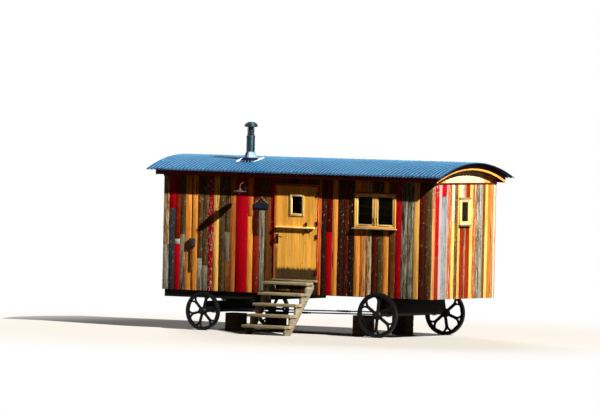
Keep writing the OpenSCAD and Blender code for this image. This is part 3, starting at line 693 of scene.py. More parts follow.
# %% List the board finishes
FINISHES = {
    "crimson": ((184, 0, 24), 1.0, (110, 30, 20), 0.0, 0.05),
    "red": ((176, 4, 22), 0.92, (120, 50, 40), 0.1, 0.25),
    "dark_red": ((100, 4, 12), 0.86, (56, 20, 14), 0.1, 0.4),
    "red_flaked": ((176, 6, 26), 0.84, (196, 176, 148), 0.1, 1.0),
    "rust": ((142, 34, 12), 0.78, (96, 44, 20), 0.2, 0.3),
    "maroon": ((86, 28, 14), 0.68, (84, 42, 22), 0.2, 0.5),
    "orange": ((240, 150, 60), 0.0, (255, 166, 68), 0.9, 0.12),
    "amber": ((250, 180, 84), 0.0, (255, 196, 98), 0.8, 0.1),
    "salmon": ((182, 18, 18), 0.3, (232, 120, 62), 0.3, 0.2),
    "flecked_orange": ((136, 34, 12), 0.36, (246, 160, 84), 0.6, 0.35),
    "brown": ((100, 58, 24), 0.3, (118, 74, 34), 0.5, 0.5),
    "dark_brown": ((42, 24, 10), 0.5, (70, 42, 20), 0.4, 0.45),
    "umber_grey": ((74, 60, 38), 0.4, (98, 78, 46), 0.4, 0.65),
    "grey": ((120, 114, 100), 0.4, (132, 122, 102), 0.4, 0.8),
    "pale_grey": ((142, 138, 124), 0.5, (168, 162, 144), 0.3, 0.95),
    "slate_grey": ((50, 56, 62), 0.6, (76, 76, 74), 0.3, 0.55),
    "charcoal": ((52, 30, 20), 0.66, (96, 66, 46), 0.3, 0.62),
    "black": ((34, 20, 16), 0.66, (72, 46, 30), 0.3, 0.6),
    "tan": ((196, 150, 92), 0.3, (190, 136, 78), 0.5, 0.3),
    "tan_flaked": ((226, 206, 156), 0.5, (150, 98, 52), 0.5, 0.95),
    "patch_white": ((196, 196, 188), 0.95, (150, 140, 126), 0.0, 0.3),
    "flaked_cream": ((188, 168, 138), 0.45, (190, 100, 48), 0.4, 0.8),
    "pink_white": ((182, 164, 156), 0.7, (170, 100, 66), 0.1, 0.75),
    "blue_grey": ((136, 148, 158), 0.8, (160, 156, 146), 0.1, 0.8),
    "cream": ((226, 212, 178), 0.85, (190, 150, 96), 0.2, 0.5),
    "straw": ((226, 186, 96), 0.2, (230, 186, 92), 0.6, 0.3),
    "panel_gold": ((240, 190, 104), 0.97, (232, 150, 64), 0.0, 0.0),
    "panel_cream": ((246, 236, 190), 0.97, (232, 168, 84), 0.0, 0.0),
    "weathered": ((112, 92, 62), 0.4, (104, 72, 40), 0.5, 0.8),
    "grey_flaked": ((176, 176, 160), 0.45, (94, 86, 62), 0.3, 0.8),
    "ochre": ((150, 84, 34), 0.3, (188, 114, 52), 0.5, 0.4),
    "peach": ((206, 164, 110), 0.3, (198, 140, 84), 0.4, 0.5),
    "worn_orange": ((206, 186, 156), 0.4, (186, 92, 42), 0.5, 0.8),
    "worn_tan": ((170, 140, 100), 0.5, (136, 88, 50), 0.5, 0.9),
    "flecked_salmon": ((186, 10, 16), 0.48, (236, 126, 62), 0.3, 0.3),
}

print("the walls have", len(FINISHES), "finishes")

# %% [markdown]
# The boards' material builds up as a real board does. First comes bare wood with dark furrows along
# its grain, deeper where it has weathered. A coat of paint lies over it where a worn pattern stays
# above what is left of the paint. Battered boards also get pale chips and dark stains. One material
# for each finish would work too, but then a change to the wood would have to be made thirty times.

# %% Mix the boards
BOARDS, tree, shader = surface("reclaimed_boards", "reclaimed_boards", Specular_IOR_Level=0.03)
wood = wood_pattern(tree)
paint, bare, wear = [add(tree, "Attribute", attribute_name=kind).outputs
                     for kind in ("paint", "bare", "wear")]
streaks = between(tree, wood["fine"], 0.36, 0.62)
bands = between(tree, wood["bands"], 0.34, 0.62)
clouds = between(tree, wood["broad"], 0.3, 0.7, 0.7, 1.22)
toned = mixed(tree, 1.0, bare["Color"], clouds, "MULTIPLY")
deep_grain = mixed(tree, 1.0, toned, (0.36, 0.27, 0.2, 1), "MULTIPLY")
weathered = between(tree, wear["Fac"], 0.1, 0.7, 0.45, 0.85)
furrows = maths(tree, "MULTIPLY", maths(tree, "MULTIPLY", streaks, bands), weathered)
wood_color = mixed(tree, furrows, toned, deep_grain)
spots = maths(tree, "MULTIPLY", wood["knots"], bare["Alpha"])
wood_color = mixed(tree, spots, wood_color, tone(46, 20, 8))

worn = noise(tree, wood["laid"], 46, 8, 0.7)
left = between(tree, paint["Alpha"], 0.0, 1.0, 0.74, 0.22)
coat = add(tree, "MapRange", {0: maths(tree, "SUBTRACT", worn, left), 1: -0.02, 2: 0.02}).outputs[0]
faded = between(tree, wood["broad"], 0.25, 0.75, 0.8, 1.12)
paint_color = mixed(tree, 1.0, paint["Color"], faded, "MULTIPLY")
paint_color = mixed(tree, maths(tree, "MULTIPLY", streaks, 0.2), paint_color, (0.01, 0.004, 0.003, 1))
color = mixed(tree, coat, wood_color, paint_color)

share = maths(tree, "MULTIPLY", maths(tree, "SUBTRACT", wear["Fac"], 0.6), 0.12)
chipped = maths(tree, "ADD", noise(tree, wood["place"], 34, 4, 0.75, (1, 1, 0.5)), share)
chip = mixed(tree, 0.5, bare["Color"], mixed(tree, bands, tone(214, 206, 186), tone(168, 152, 124)))
color = mixed(tree, between(tree, chipped, 0.60, 0.64), color, chip)
stained = maths(tree, "ADD", noise(tree, wood["laid"], 30, 6, 0.75), share)
color = mixed(tree, between(tree, stained, 0.54, 0.64, 0, 0.8), color, tone(28, 18, 14))
to_shader(tree, shader, Base_Color=color, Roughness=between(tree, coat, 0, 1, 0.8, 0.6))
raised(tree, shader, maths(tree, "SUBTRACT", maths(tree, "MULTIPLY", coat, 0.6), streaks), 0.0016, 0.8)
print("the boards' material has", len(tree.nodes), "nodes")

# %% [markdown]
# Each wall is a list of boards from left to right: a width in millimetres, then a finish, and where
# a board is made up of shorter lengths, the height in metres where the next finish starts. The
# lists follow the real walls where those can be seen. Over and under the door the boards lie in deep
# shade, and only dark finishes are listed there: painted shade.

# %% List the boards of each wall
DOOR_WALL_LEFT = [
    (125, "pale_grey", 1.5, "tan_flaked"), (125, "slate_grey", 2.148, "crimson"),
    (110, "crimson", 1.511, "patch_white", 1.607, "rust"), (108, "grey", 1.692, "umber_grey"),
    (128, "orange"), (16, "charcoal"), (112, "orange"), (103, "pale_grey", 1.277, "weathered"),
    (117, "grey", 1.15, "weathered"), (112, "red_flaked"), (115, "amber"), (125, "umber_grey"),
    (100, "brown", 1.226, "grey", 1.758, "weathered"), (124, "ochre"), (240, "crimson"),
    (115, "orange", 2.05, "salmon"), (125, "rust", 1.70, "maroon"),
    (115, "pale_grey", 2.186, "brown"), (125, "brown"), (82, "brown", 1.521, "red"),
]
DOOR_WALL_RIGHT = [
    (55, "salmon"), (105, "dark_brown"), (115, "crimson", 1.822, "dark_red"), (115, "orange"),
    (125, "charcoal"), (100, "maroon"), (115, "black"), (125, "orange"), (120, "flecked_orange"),
    (115, "tan_flaked"), (115, "maroon"), (115, "umber_grey"), (115, "orange"), (140, "brown"),
    (115, "red"), (120, "grey_flaked"), (125, "grey_flaked"), (115, "amber"), (125, "maroon"),
    (129, "umber_grey"),
]
RIGHT_GABLE = [
    (130, "peach", 2.3, "flaked_cream"), (125, "rust", 1.45, "red", 2.5, "red_flaked"),
    (95, "pink_white"), (155, "blue_grey", 2.5, "crimson"), (50, "pink_white"),
    (140, "worn_orange"), (105, "straw", 2.05, "cream"), (110, "weathered"), (80, "straw"),
    (140, "rust", 2.2, "cream"), (60, "worn_tan"), (140, "rust"), (110, "straw"),
    (110, "worn_orange"), (115, "grey_flaked"), (120, "pale_grey"), (80, "brown"),
    (95, "amber", 2.1, "straw"), (125, "ochre"), (85, "peach"), (80, "cream"),
]
# Painted shade: dark finishes only, for boards that lie in deep shade over and under the door
OVER_DOOR_SHADED = [(114, "brown"), (115, "umber_grey"), (115, "maroon"), (115, "dark_brown"),
             (115, "brown"), (115, "rust"), (115, "dark_brown"), (110, "umber_grey")]
UNDER_DOOR_SHADED = [(114, "dark_brown"), (230, "umber_grey"), (230, "dark_brown"), (230, "brown"),
              (110, "charcoal")]
print("the door wall has", len(DOOR_WALL_LEFT) + len(DOOR_WALL_RIGHT), "boards beside its door")

# %% [markdown]
# The back wall and the left gable are clad with boards of the same kind. They could be typed out
# too, but nothing is known of them, so widths, finishes and joints are drawn by lot, from the seed
# that was set above. Finishes that belong to one seen board stay out of the draw.

# %% Draw the boards of the far walls
SEEN_ONLY = ("patch_white", "slate_grey", "blue_grey", "black", "cream", "panel_cream",
             "panel_gold")
DRAWN = [finish for finish in FINISHES if finish not in SEEN_ONLY]
BOARD_WIDTHS, NARROWEST = (100, 110, 115, 115, 125, 140), 60
JOINTED = 0.25


def drawn_wall(length):
    """Boards of random widths and finishes for a stretch of wall, in millimetres."""
    made, so_far = [], 0
    while so_far < length:
        width = min(random.choice(BOARD_WIDTHS), length - so_far)
        if length - so_far - width < NARROWEST:
            width = length - so_far
        finish = random.choice([f for f in DRAWN if not made or f != made[-1][1]])
        joint = random.random() < JOINTED
        rest = (round(random.uniform(1.2, 2.2), 2), random.choice(DRAWN)) if joint else ()
        made.append((width, finish, *rest))
        so_far += width
    return made


def painted(piece, named):
    """Writes finishes on the faces of a piece: one name for all of them, or a name for each."""
    mesh = piece.data
    named = [named] * len(mesh.polygons) if isinstance(named, str) else named
    chosen = [FINISHES[name] for name in named]
    for kind, color, share in (("paint", 0, 1), ("bare", 2, 3)):
        values = [c for finish in chosen for c in (*tone(*finish[color])[:3], finish[share])]
        mesh.attributes.new(kind, "FLOAT_COLOR", "FACE").data.foreach_set("color", values)
    mesh.attributes.new("wear", "FLOAT", "FACE").data.foreach_set("value", [f[4] for f in chosen])
    return piece


print(len(DRAWN), "finishes are in the draw")

# %% [markdown]
# A wall is more than its face: boards 20 mm thick, a core of studs and insulation, and a lining
# inside. The sizes come from the frame, so the cladding follows if the frame changes. The roof's
# arc is known from its crown, its eaves and its half width.

# %% Measure the hut
wall_low, wall_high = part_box("left_wall")
LOW_END, RAIL_Z = wall_low.z, wall_high.z
LEFT_X, RIGHT_X = wall_low.x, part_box("right_wall")[1].x
FRONT_Y, BACK_Y = wall_low.y, wall_high.y
MIDDLE_Y = (FRONT_Y + BACK_Y) / 2
LENGTH, WIDTH = RIGHT_X - LEFT_X, BACK_Y - FRONT_Y
FLOOR_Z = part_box("hut_floor")[1].z
WALL, BOARD, JOINT = 0.09, 0.020, 0.007
INSET = BOARD + 0.004
LINING_DEPTH, LINING_WIDTH = 0.012, 0.11

CROWN_Z, EAVE_Z, ROOF_HALF = sheet_high.z, 2.840, 1.315
RISE = CROWN_Z - EAVE_Z
ROOF_R = (RISE * RISE + ROOF_HALF * ROOF_HALF) / (2 * RISE)
ROOF_CENTRE = Vector((0, MIDDLE_Y, CROWN_Z - ROOF_R))
DECK_R = ROOF_R - 0.038
WALL_TOP = ROOF_CENTRE.z + math.sqrt(DECK_R ** 2 - (BACK_Y - MIDDLE_Y) ** 2) - 0.002
print("the hut is", round(LENGTH, 3), "by", round(WIDTH, 3), "metres, and its roof's radius is",
      round(ROOF_R, 3))

# %% [markdown]
# A wall knows where it starts, which way it runs and which way is in, so one function can clad all
# four.

# %% Face the four walls
class Wall:
    """A face of the hut: where it starts, which way it runs, and which way is in."""

    def __init__(self, start, along, inward):
        self.start, self.along, self.inward = Vector(start), Vector(along), Vector(inward)

    def at(self, distance, depth, height):
        spot = self.start + self.along * distance + self.inward * depth
        return Vector((spot.x, spot.y, height))


DOOR_WALL = Wall((LEFT_X, FRONT_Y, 0), (1, 0, 0), (0, 1, 0))
BACK_WALL = Wall((RIGHT_X, BACK_Y, 0), (-1, 0, 0), (0, -1, 0))
RIGHT_WALL = Wall((RIGHT_X, FRONT_Y, 0), (0, 1, 0), (-1, 0, 0))
LEFT_WALL = Wall((LEFT_X, BACK_Y, 0), (0, -1, 0), (1, 0, 0))

# %% [markdown]
# Openings are measured along their wall too. The small window's opening is what its frame leaves
# free.

# %% Find the openings
def measured(node):
    """A node of the door wall: where it starts and ends along the wall, its foot and its top."""
    low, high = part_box(node)
    return low.x - LEFT_X, high.x - LEFT_X, low.z, high.z


WINDOW = measured("casement_sashes")
BAR, LIGHT_OVER, LIGHT_SILL, LIGHT_HEAD = 0.030, 0.012, 0.028, 0.026
light_low, light_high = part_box("gable_window_frame")
GABLE_WINDOW = (light_low.y - FRONT_Y + LIGHT_OVER + BAR, light_high.y - FRONT_Y - LIGHT_OVER - BAR,
                light_low.z + LIGHT_SILL + BAR, light_high.z - LIGHT_HEAD - BAR)
_, left_end, _, _ = measured("front_wall_left")
right_start, _, _, _ = measured("front_wall_right")
_, _, under_low, under_high = measured("front_wall_under_door")
_, _, over_low, _ = measured("front_wall_over_door")
print("the window starts", round(WINDOW[0], 3), "metres along the door wall")

# %% [markdown]
# The boards are boxes with a gap of 7 mm between them, and a few millimetres of difference in how
# far they stand out, so their joints are true dark lines. A plane with painted joints would be
# lighter, but it would look flat at the corners of the hut. The windows are cut through the boards,
# the core and the lining with boolean modifiers, and each face then takes its board's finish.

# %% Cut the openings and finish the boards
CUT_DEPTHS = (-0.05, 0.2)


def paint_faces(piece, wall, marks):
    """Writes each board's finish on its faces, which are found by their place along the wall."""
    named = []
    for face in piece.data.polygons:
        along = (face.center - wall.start).dot(wall.along)
        near = min(marks, key=lambda m: max(m[0] - along, along - m[1], m[2] - face.center.z,
                                            face.center.z - m[3], 0))
        named.append(near[4])
    return painted(piece, named)


def opened(piece, wall, openings, depths=CUT_DEPTHS):
    """Cuts openings through one layer of a wall, each given as measured() does."""
    for start, end, low, high in openings:
        corners = wall.at(start, depths[0], low), wall.at(end, depths[1], high)
        cut(piece, blocks([corners], ease=0))
    return piece


# %% [markdown]
# Each stretch of wall is then boarded from its list. The places of the nails are noted on the way.

# %% Clad the long walls
PROUD = 0.0035
NAIL_ROWS, NAIL_SHARES, NAIL_STRAY = (0.09, 0.1), (0.22, 0.78), 0.006
NAILED_FROM = 0.6
nails = []


def lengths(entry, low, high):
    """The lengths that make up one board: finish, lower end and upper end."""
    finishes, heights = entry[1::2], [low, *entry[2::2], high]
    for finish, z0, z1 in zip(finishes, heights, heights[1:]):
        z0, z1 = max(z0, low), min(z1, high)
        if z1 - z0 > 0.02:
            yield finish, z0, z1


def board_wall(wall, schedule, start, low, high, openings=()):
    """The cladding of one stretch of wall, with each board's finish stored on its faces."""
    corners, marks = [], []
    rows = (low + NAIL_ROWS[0], (low + high) / 2, high - NAIL_ROWS[1])
    for entry in schedule:
        end = start + entry[0] / 1000
        for finish, z0, z1 in lengths(entry, low, high):
            proud = random.uniform(0.0, PROUD)
            corners.append((wall.at(start + JOINT / 2, proud, z0 + JOINT / 3),
                            wall.at(end - JOINT / 2, BOARD + proud, z1 - JOINT / 3)))
            marks.append((start, end, z0, z1, finish))
        for z in rows if high - low > NAILED_FROM else ():
            for share in NAIL_SHARES:
                spot = start + (end - start) * share
                if not any(a < spot < b and c < z < d for a, b, c, d in openings):
                    nails.append((wall, spot, z + random.uniform(-NAIL_STRAY, NAIL_STRAY)))
        start = end
    piece = opened(blocks(corners, ease=0.002), wall, openings)
    return paint_faces(grain(piece), wall, marks)


def clad(wall, schedule, start, low, high, name, node, openings=(), slot=None):
    boards = board_wall(wall, schedule, start, low, high, openings)
    return finished(boards, name, BOARDS, node, slot=slot)


clad(DOOR_WALL, DOOR_WALL_LEFT, 0, LOW_END, WALL_TOP, "door_wall_boards_left", "front_wall_left")
clad(DOOR_WALL, DOOR_WALL_RIGHT, right_start, LOW_END, WALL_TOP, "door_wall_boards_right",
     "front_wall_right", [WINDOW])
clad(DOOR_WALL, OVER_DOOR_SHADED, left_end, over_low, WALL_TOP, "boards_over_door",
     "front_wall_over_door")
clad(DOOR_WALL, UNDER_DOOR_SHADED, left_end, under_low, under_high, "boards_under_door",
     "front_wall_under_door")
clad(BACK_WALL, drawn_wall(LENGTH * 1000), 0, LOW_END, WALL_TOP, "back_wall_boards", "back_wall")

# %% [markdown]
# The gable walls fit between the long walls' boards, which lap their corners. They could be made
# whole and trimmed with a boolean. Making their outer two boards narrower gives the same corner and
# needs no cut.

# %% Clad the gable walls
def inset_ends(schedule):
    """A gable's boards, with its outer two made narrower where the long walls' boards lap them."""
    first, *others, last = schedule
    trim_by = INSET * 1000
    return [(first[0] - trim_by, *first[1:]), *others, (last[0] - trim_by, *last[1:])]


clad(RIGHT_WALL, inset_ends(RIGHT_GABLE), INSET, LOW_END, RAIL_Z, "right_wall_boards",
     "right_wall", [GABLE_WINDOW], "sunlit_boards")
clad(LEFT_WALL, inset_ends(drawn_wall(WIDTH * 1000)), INSET, LOW_END, RAIL_Z, "left_wall_boards",
     "left_wall", (), "sunlit_boards")

# %% [markdown]
# Behind the boards come the core and the lining. The lining is plain pine boards laid level, which
# show through the door when it stands open.

# %% Line the walls
def line_wall(wall, start, end, low, high, name, openings=(), first_row=FLOOR_Z):
    """The core of a wall, and the lining boards on it from the first row up."""
    core = wall.at(start, INSET, low), wall.at(end, WALL - LINING_DEPTH, high)
    layers, rows, z = [blocks([core], 0.001, 1)], [], first_row
    while z < high - 0.02:
        top = min(z + LINING_WIDTH, high)
        rows.append((wall.at(start, WALL - LINING_DEPTH, z + 0.0003),
                     wall.at(end, WALL, top - 0.0003)))
        z = top
    if rows:
        layers.append(blocks(rows, ease=0.0025, steps=1))
    finished(joined([opened(layer, wall, openings) for layer in layers]), name, LINING)


line_wall(DOOR_WALL, WALL, left_end, LOW_END, WALL_TOP, "door_wall_lining_left")
line_wall(DOOR_WALL, right_start, LENGTH - WALL, LOW_END, WALL_TOP,
          "door_wall_lining_right", [WINDOW])
line_wall(DOOR_WALL, left_end, right_start, over_low, WALL_TOP, "lining_over_door",
          first_row=over_low)
line_wall(DOOR_WALL, left_end, right_start, under_low, under_high, "lining_under_door")
line_wall(BACK_WALL, WALL, LENGTH - WALL, LOW_END, WALL_TOP, "back_wall_lining")
line_wall(RIGHT_WALL, INSET, WIDTH - INSET, LOW_END, RAIL_Z, "right_wall_lining", [GABLE_WINDOW])
line_wall(LEFT_WALL, INSET, WIDTH - INSET, LOW_END, RAIL_Z, "left_wall_lining")

# %% [markdown]
# Pairs of nails hold every board. A nail's head is a flat disc of a few millimetres, so one is made
# and repeated some hundred times in one mesh.

# %% Nail the boards
NAIL_R, NAIL_OUT = 0.0035, 0.0008
nail_head = rod((0, 0, -0.005), (0, 0, NAIL_OUT), NAIL_R, sides=6)
nail_places = [Matrix.Translation(wall.at(spot, 0.0, z)) @ facing(-wall.inward)
               for wall, spot, z in nails]
finished(repeated(nail_head, nail_places), "wall_nails", BLACK_IRON)

# %% [markdown]
# The curved panel over each gable wall is boarded too, and painted cream. Its boards are cut to the
# arc of the roof by keeping only what they share with a solid bar as round as the deck. A dark rail
# covers the joint between the panel and the wall.

# %% Board the gable panels
RAIL_OUT, RAIL_HIGH = 0.012, 0.028
PANEL_PAINTS = ["panel_gold"] * 4 + ["panel_cream"] * 12 + ["panel_gold"] * 4
PANEL_BOARDS = [(112.5, paint) for paint in PANEL_PAINTS]


def under_arc(piece, wall):
    """Cuts a gable's piece to the arc of the deck."""
    ends = [(wall.start.x + reach, ROOF_CENTRE.y, ROOF_CENTRE.z) for reach in (-0.3, 0.3)]
    return cut(piece, rod(*ends, DECK_R, 360), "INTERSECT")


def gable_panel(wall, node, name):
    """The boards of one panel, the lining behind them and the rail under them."""
    boards = board_wall(wall, PANEL_BOARDS, 0, RAIL_Z + JOINT, CROWN_Z)
    finished(under_arc(boards, wall), name + "_boards", BOARDS, node, slot="trim")
    core = blocks([(wall.at(WALL, INSET, RAIL_Z), wall.at(WIDTH - WALL, WALL, CROWN_Z))], 0.001, 1)
    finished(under_arc(core, wall), name + "_lining", LINING)
    rail = wall.at(0, -RAIL_OUT, RAIL_Z), wall.at(WIDTH, 0.004, RAIL_Z + RAIL_HIGH)
    finished(blocks([rail]), name + "_rail", RAIL_STAIN_AND_SHADE)


gable_panel(RIGHT_WALL, "right_gable_panel", "right_gable")
gable_panel(LEFT_WALL, "left_gable_panel", "left_gable")

# %% [markdown]
# The roof sheet is corrugated steel with a pitch of 76.2 mm, bent over the bows. A wave could be
# faked in the shading, but the eaves show it as scallops, so it is real: a grid whose points are
# moved to a wave along the hut and to an arc across it, then given its thickness. Ten sheets lap
# one another by one wave, as on a real roof.

# %% Bend the corrugated sheets
WAVE, SHEET, LAP_LIFT = 0.0198, 0.0010, 0.0006
WAVES_A_SHEET, POINTS_A_WAVE, ROWS = 8, 8, 30
HALF_ANGLE = math.asin(ROOF_HALF / ROOF_R)
ROOF_WAVES = (SHEET_RIGHT - SHEET_LEFT) / PITCH


def roof_point(x, angle, radius):
    """A point of the roof: x along the hut and an angle across it, 0 at the crown."""
    return Vector((x, ROOF_CENTRE.y + radius * math.sin(angle),
                   ROOF_CENTRE.z + radius * math.cos(angle)))


def wave_radius(x):
    """Radius of the top of the sheet, from crest to trough along the hut."""
    phase = 2 * math.pi * (x - SHEET_LEFT) / PITCH
    return ROOF_R - SHEET / 2 - WAVE * (0.5 - 0.5 * math.cos(phase))


def bent_plate(columns, rows, place, thickness, offset):
    """A flat grid whose points go where place(u, v) says, from -1 to 1, with a thickness added."""
    bpy.ops.object.select_all(action="DESELECT")
    bpy.ops.mesh.primitive_grid_add(x_subdivisions=columns, y_subdivisions=rows, size=2)
    plate = bpy.context.object
    for v in plate.data.vertices:
        v.co = place(v.co.x, v.co.y)
    thick = plate.modifiers.new("thickness", "SOLIDIFY")
    thick.thickness, thick.offset = thickness, offset
    bpy.ops.object.modifier_apply(modifier="thickness")
    return plate


def one_sheet(number):
    """One sheet of the roof. Every other one lies a little lower, so that two never share a face."""
    start = SHEET_LEFT + number * WAVES_A_SHEET * PITCH
    end = min(start + (WAVES_A_SHEET + 1) * PITCH, SHEET_RIGHT)
    columns = max(round((end - start) / PITCH * POINTS_A_WAVE), 2)
    lower = LAP_LIFT * (number % 2)

    def place(u, v):
        x = start + (end - start) * (u + 1) / 2
        return roof_point(x, HALF_ANGLE * v, wave_radius(x) - lower)

    return bent_plate(columns, ROWS, place, SHEET, 0)


sheets = [one_sheet(k) for k in range(math.ceil((ROOF_WAVES - 1) / WAVES_A_SHEET))]
finished(joined(sheets), "corrugated_roof", ROOF_COAT, "roof_sheet", smooth=60)

# %% [markdown]
# Screws with a round washer hold the sheets through every third crest, in five rows. Each has to
# stand square to the arc, so its place is a point of the roof and a turn.

# %% Screw the sheets down
SCREW_ANGLES = [HALF_ANGLE * share for share in (-0.93, -0.5, 0.0, 0.5, 0.93)]
WASHER = [(0, 0.0055), (0.004, 0.0055), (0.0045, 0.0015), (0.009, 0.0012), (0.0095, -0.002)]


def on_roof(x, angle, radius):
    """The place of a shape drawn along Z that stands square to the roof."""
    return Matrix.Translation(roof_point(x, angle, radius)) @ Matrix.Rotation(-angle, 4, "X")


places = [on_roof(SHEET_LEFT + k * PITCH, angle, ROOF_R)
          for k in range(1, round(ROOF_WAVES), 3) for angle in SCREW_ANGLES]
finished(repeated(spun(WASHER, (0, 0, 0), steps=8), places), "roof_screws", DARK_STEEL)

# %% [markdown]
# Under the sheet lie the deck of boards, the bows that carry it, the fascias along the eaves and
# the barge boards round the gables. The barge boards are bare pine along a strip at their lower
# edge and painted dark above it. The dark part is painted shade, where the overhanging sheet shades
# the board. The line between the two follows the roof's arc, so the colour asks how far a point is
# from the middle of that arc.

# %% Mix the two tones of the barge boards
STRIP_R = DECK_R - 0.064
BARGE, tree, shader, lower_tone, wood = timber_mix(
    "barge_pine", "trim", (255, 190, 92), (232, 146, 54), knots=0.3, contrast=0.6)
offset = add(tree, "VectorMath", {0: wood["place"], 1: tuple(ROOF_CENTRE)},
             operation="SUBTRACT").outputs["Vector"]
across = add(tree, "VectorMath", {0: offset, 1: (0, 1, 1)}, operation="MULTIPLY").outputs["Vector"]
reach = add(tree, "VectorMath", {0: across}, operation="LENGTH").outputs["Value"]
# Painted shade: above this line the board takes a dark tone for the sheet's shade
shaded_upper = between(tree, reach, STRIP_R - 0.001, STRIP_R + 0.001)
painted_shade_tone = mixed(tree, between(tree, wood["fine"], 0.35, 0.65), tone(34, 10, 6), tone(74, 22, 12))
to_shader(tree, shader, Base_Color=mixed(tree, shaded_upper, lower_tone, painted_shade_tone))
print("the two tones meet", round(1000 * (ROOF_R - STRIP_R)), "mm under the crown of the roof")

# %% [markdown]
# The bows, fascias and barge boards have the right shape as CAD solids, so a merged copy of each
# only needs its edges eased. The deck is boards laid along the hut, so it is made again as strips
# between two arcs.

# %% Lay the roof deck
DECK, DECK_BOARDS, DECK_GAP = 0.018, 24, 0.0004
deck_low, deck_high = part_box("roof_deck")
deck_half = math.asin((deck_high.y - MIDDLE_Y) / ROOF_R)


def deck_strip(k):
    """One board of the deck: a box whose corners are moved to the arc."""
    first = deck_half * (2 * k / DECK_BOARDS - 1) + DECK_GAP
    last = deck_half * (2 * (k + 1) / DECK_BOARDS - 1) - DECK_GAP
    strip = blocks([((deck_low.x, 0, 0), (deck_high.x, 1, 1))], ease=0)
    for v in strip.data.vertices:
        up = DECK * (0.02 if v.co.z < 0.5 else 0.98)
        v.co = roof_point(v.co.x, first if v.co.y < 0.5 else last, DECK_R + up)
    return strip


deck = joined([deck_strip(k) for k in range(DECK_BOARDS)])
finished(deck, "roof_deck_boards", ROOF_TIMBER, "roof_deck")
refined("roof_bows", "bent_bows", ROOF_TIMBER, 0.004)
refined("eave_fascias", "stained_fascias", STAINED_AND_SHADED, 0.004)
refined("barge_boards", "curved_barge_boards", BARGE, 0.004)

# %% [markdown]
# The floor is boards on joists, and the joists rest on two long beams. The boards are boxes again,
# and the timbers under them are eased copies of the CAD solids.

# %% Lay the floor inside
PLANK = 0.14
floor_low, floor_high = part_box("hut_floor")
planks = round((floor_high.y - floor_low.y) / PLANK)
step = (floor_high.y - floor_low.y) / planks
floor = blocks([((floor_low.x, floor_low.y + k * step, floor_low.z),
                 (floor_high.x, floor_low.y + (k + 1) * step, floor_high.z))
                for k in range(planks)], ease=0.0015, steps=1)
finished(floor, "floor_planks", FLOORING, "hut_floor")
refined("floor_joists", "joists", ROOF_TIMBER, 0.003)
refined("chassis_beams", "long_beams", FRAME_TIMBER, 0.005)
refined("subframe_beams", "front_subframe_beams", FRAME_TIMBER, 0.005)
refined("subframe_cross_members", "subframe_bolsters", FRAME_TIMBER, 0.005)
refined("axle_beds", "bedded_axle_timbers", FRAME_TIMBER, 0.006)

# %% [markdown]
# Around the doorway stand two jambs with a stop behind each, a head above them and a worn threshold
# that laps over the top step. They could be copied from the CAD solid, but then one grain would run
# through all of them, so each timber is its own box. The right-hand jamb was cut from an old board
# and keeps flecks of its red paint, so it borrows a finish from the walls.

# %% Frame the doorway
JAMB, STOP, STOP_GAP = 0.030, 0.015, 0.006
jambs_low, jambs_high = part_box("door_jambs")
sill_low, head_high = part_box("door_head_and_threshold")
leaf_low, leaf_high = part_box("door_lower_leaf")
upper_low, upper_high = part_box("door_upper_leaf")


def jamb(outer, toward):
    """A jamb and its stop. Toward is 1 where the doorway lies to the right of it, and else -1."""
    face, edge = outer + toward * JAMB, outer + toward * (JAMB + STOP)
    stop_y = leaf_high.y + STOP_GAP
    return blocks([((outer, jambs_low.y, jambs_low.z), (face, stop_y, jambs_high.z)),
                   ((outer, stop_y, jambs_low.z), (edge, jambs_high.y, jambs_high.z))], 0.0025)


def shed_water(piece, wall, drop):
    """Slopes a top outwards by lowering its outer upper corners."""
    depths = [(v.co - wall.start).dot(wall.inward) for v in piece.data.vertices]
    heights = [v.co.z for v in piece.data.vertices]
    for v, depth in zip(piece.data.vertices, depths):
        if 2 * depth < min(depths) + max(depths) and 2 * v.co.z > min(heights) + max(heights):
            v.co.z -= drop
    return piece


finished(jamb(jambs_low.x, 1), "left_jamb", TRIM, "door_jambs")
finished(painted(jamb(jambs_high.x, -1), "flecked_salmon"), "right_jamb", BOARDS)
head = blocks([((jambs_low.x, leaf_low.y, jambs_high.z),
                (jambs_high.x, jambs_high.y, head_high.z))], 0.0025)
finished(head, "door_head", TRIM, "door_head_and_threshold")
threshold = blocks([((jambs_low.x, sill_low.y, sill_low.z),
                     (jambs_high.x, jambs_high.y, jambs_low.z))], 0.006)
finished(shed_water(threshold, DOOR_WALL, 0.004), "worn_threshold", STEP_TIMBER)

# %% [markdown]
# The stable door is two leaves of matched boards with a V at each joint, held by ledges and a brace
# behind. The V could be cut as a groove. Boards with a small chamfer on every edge, set side by
# side, give the same V and keep each board's own grain.

# %% Board the stable door
LEAF_BOARDS, LEAF_SKIN, CHAMFER, LEAF_GAP = 7, 0.022, 0.0032, 0.0002
LEAF_CUT = (-0.1, 0.1)
PANE_HOLE = measured("door_glass")


def leaf_skin(low, high, material, name, node, openings=()):
    """The outer boards of one leaf, all of one width."""
    wide = (leaf_high.x - leaf_low.x) / LEAF_BOARDS
    skin = blocks([((leaf_low.x + k * wide + LEAF_GAP, leaf_low.y, low),
                    (leaf_low.x + (k + 1) * wide - LEAF_GAP, leaf_low.y + LEAF_SKIN, high))
                   for k in range(LEAF_BOARDS)], CHAMFER, 1)
    opened(skin, DOOR_WALL, openings, LEAF_CUT)
    return finished(skin, name, material, node, "door")


leaf_skin(leaf_low.z, leaf_high.z, DOOR_PINE, "lower_leaf_boards", "door_lower_leaf")
leaf_skin(upper_low.z, upper_high.z, PINE, "upper_leaf_boards", "door_upper_leaf", [PANE_HOLE])

# %% [markdown]
# Ledges across the inside of each leaf hold its boards, and a brace keeps the lower leaf square.

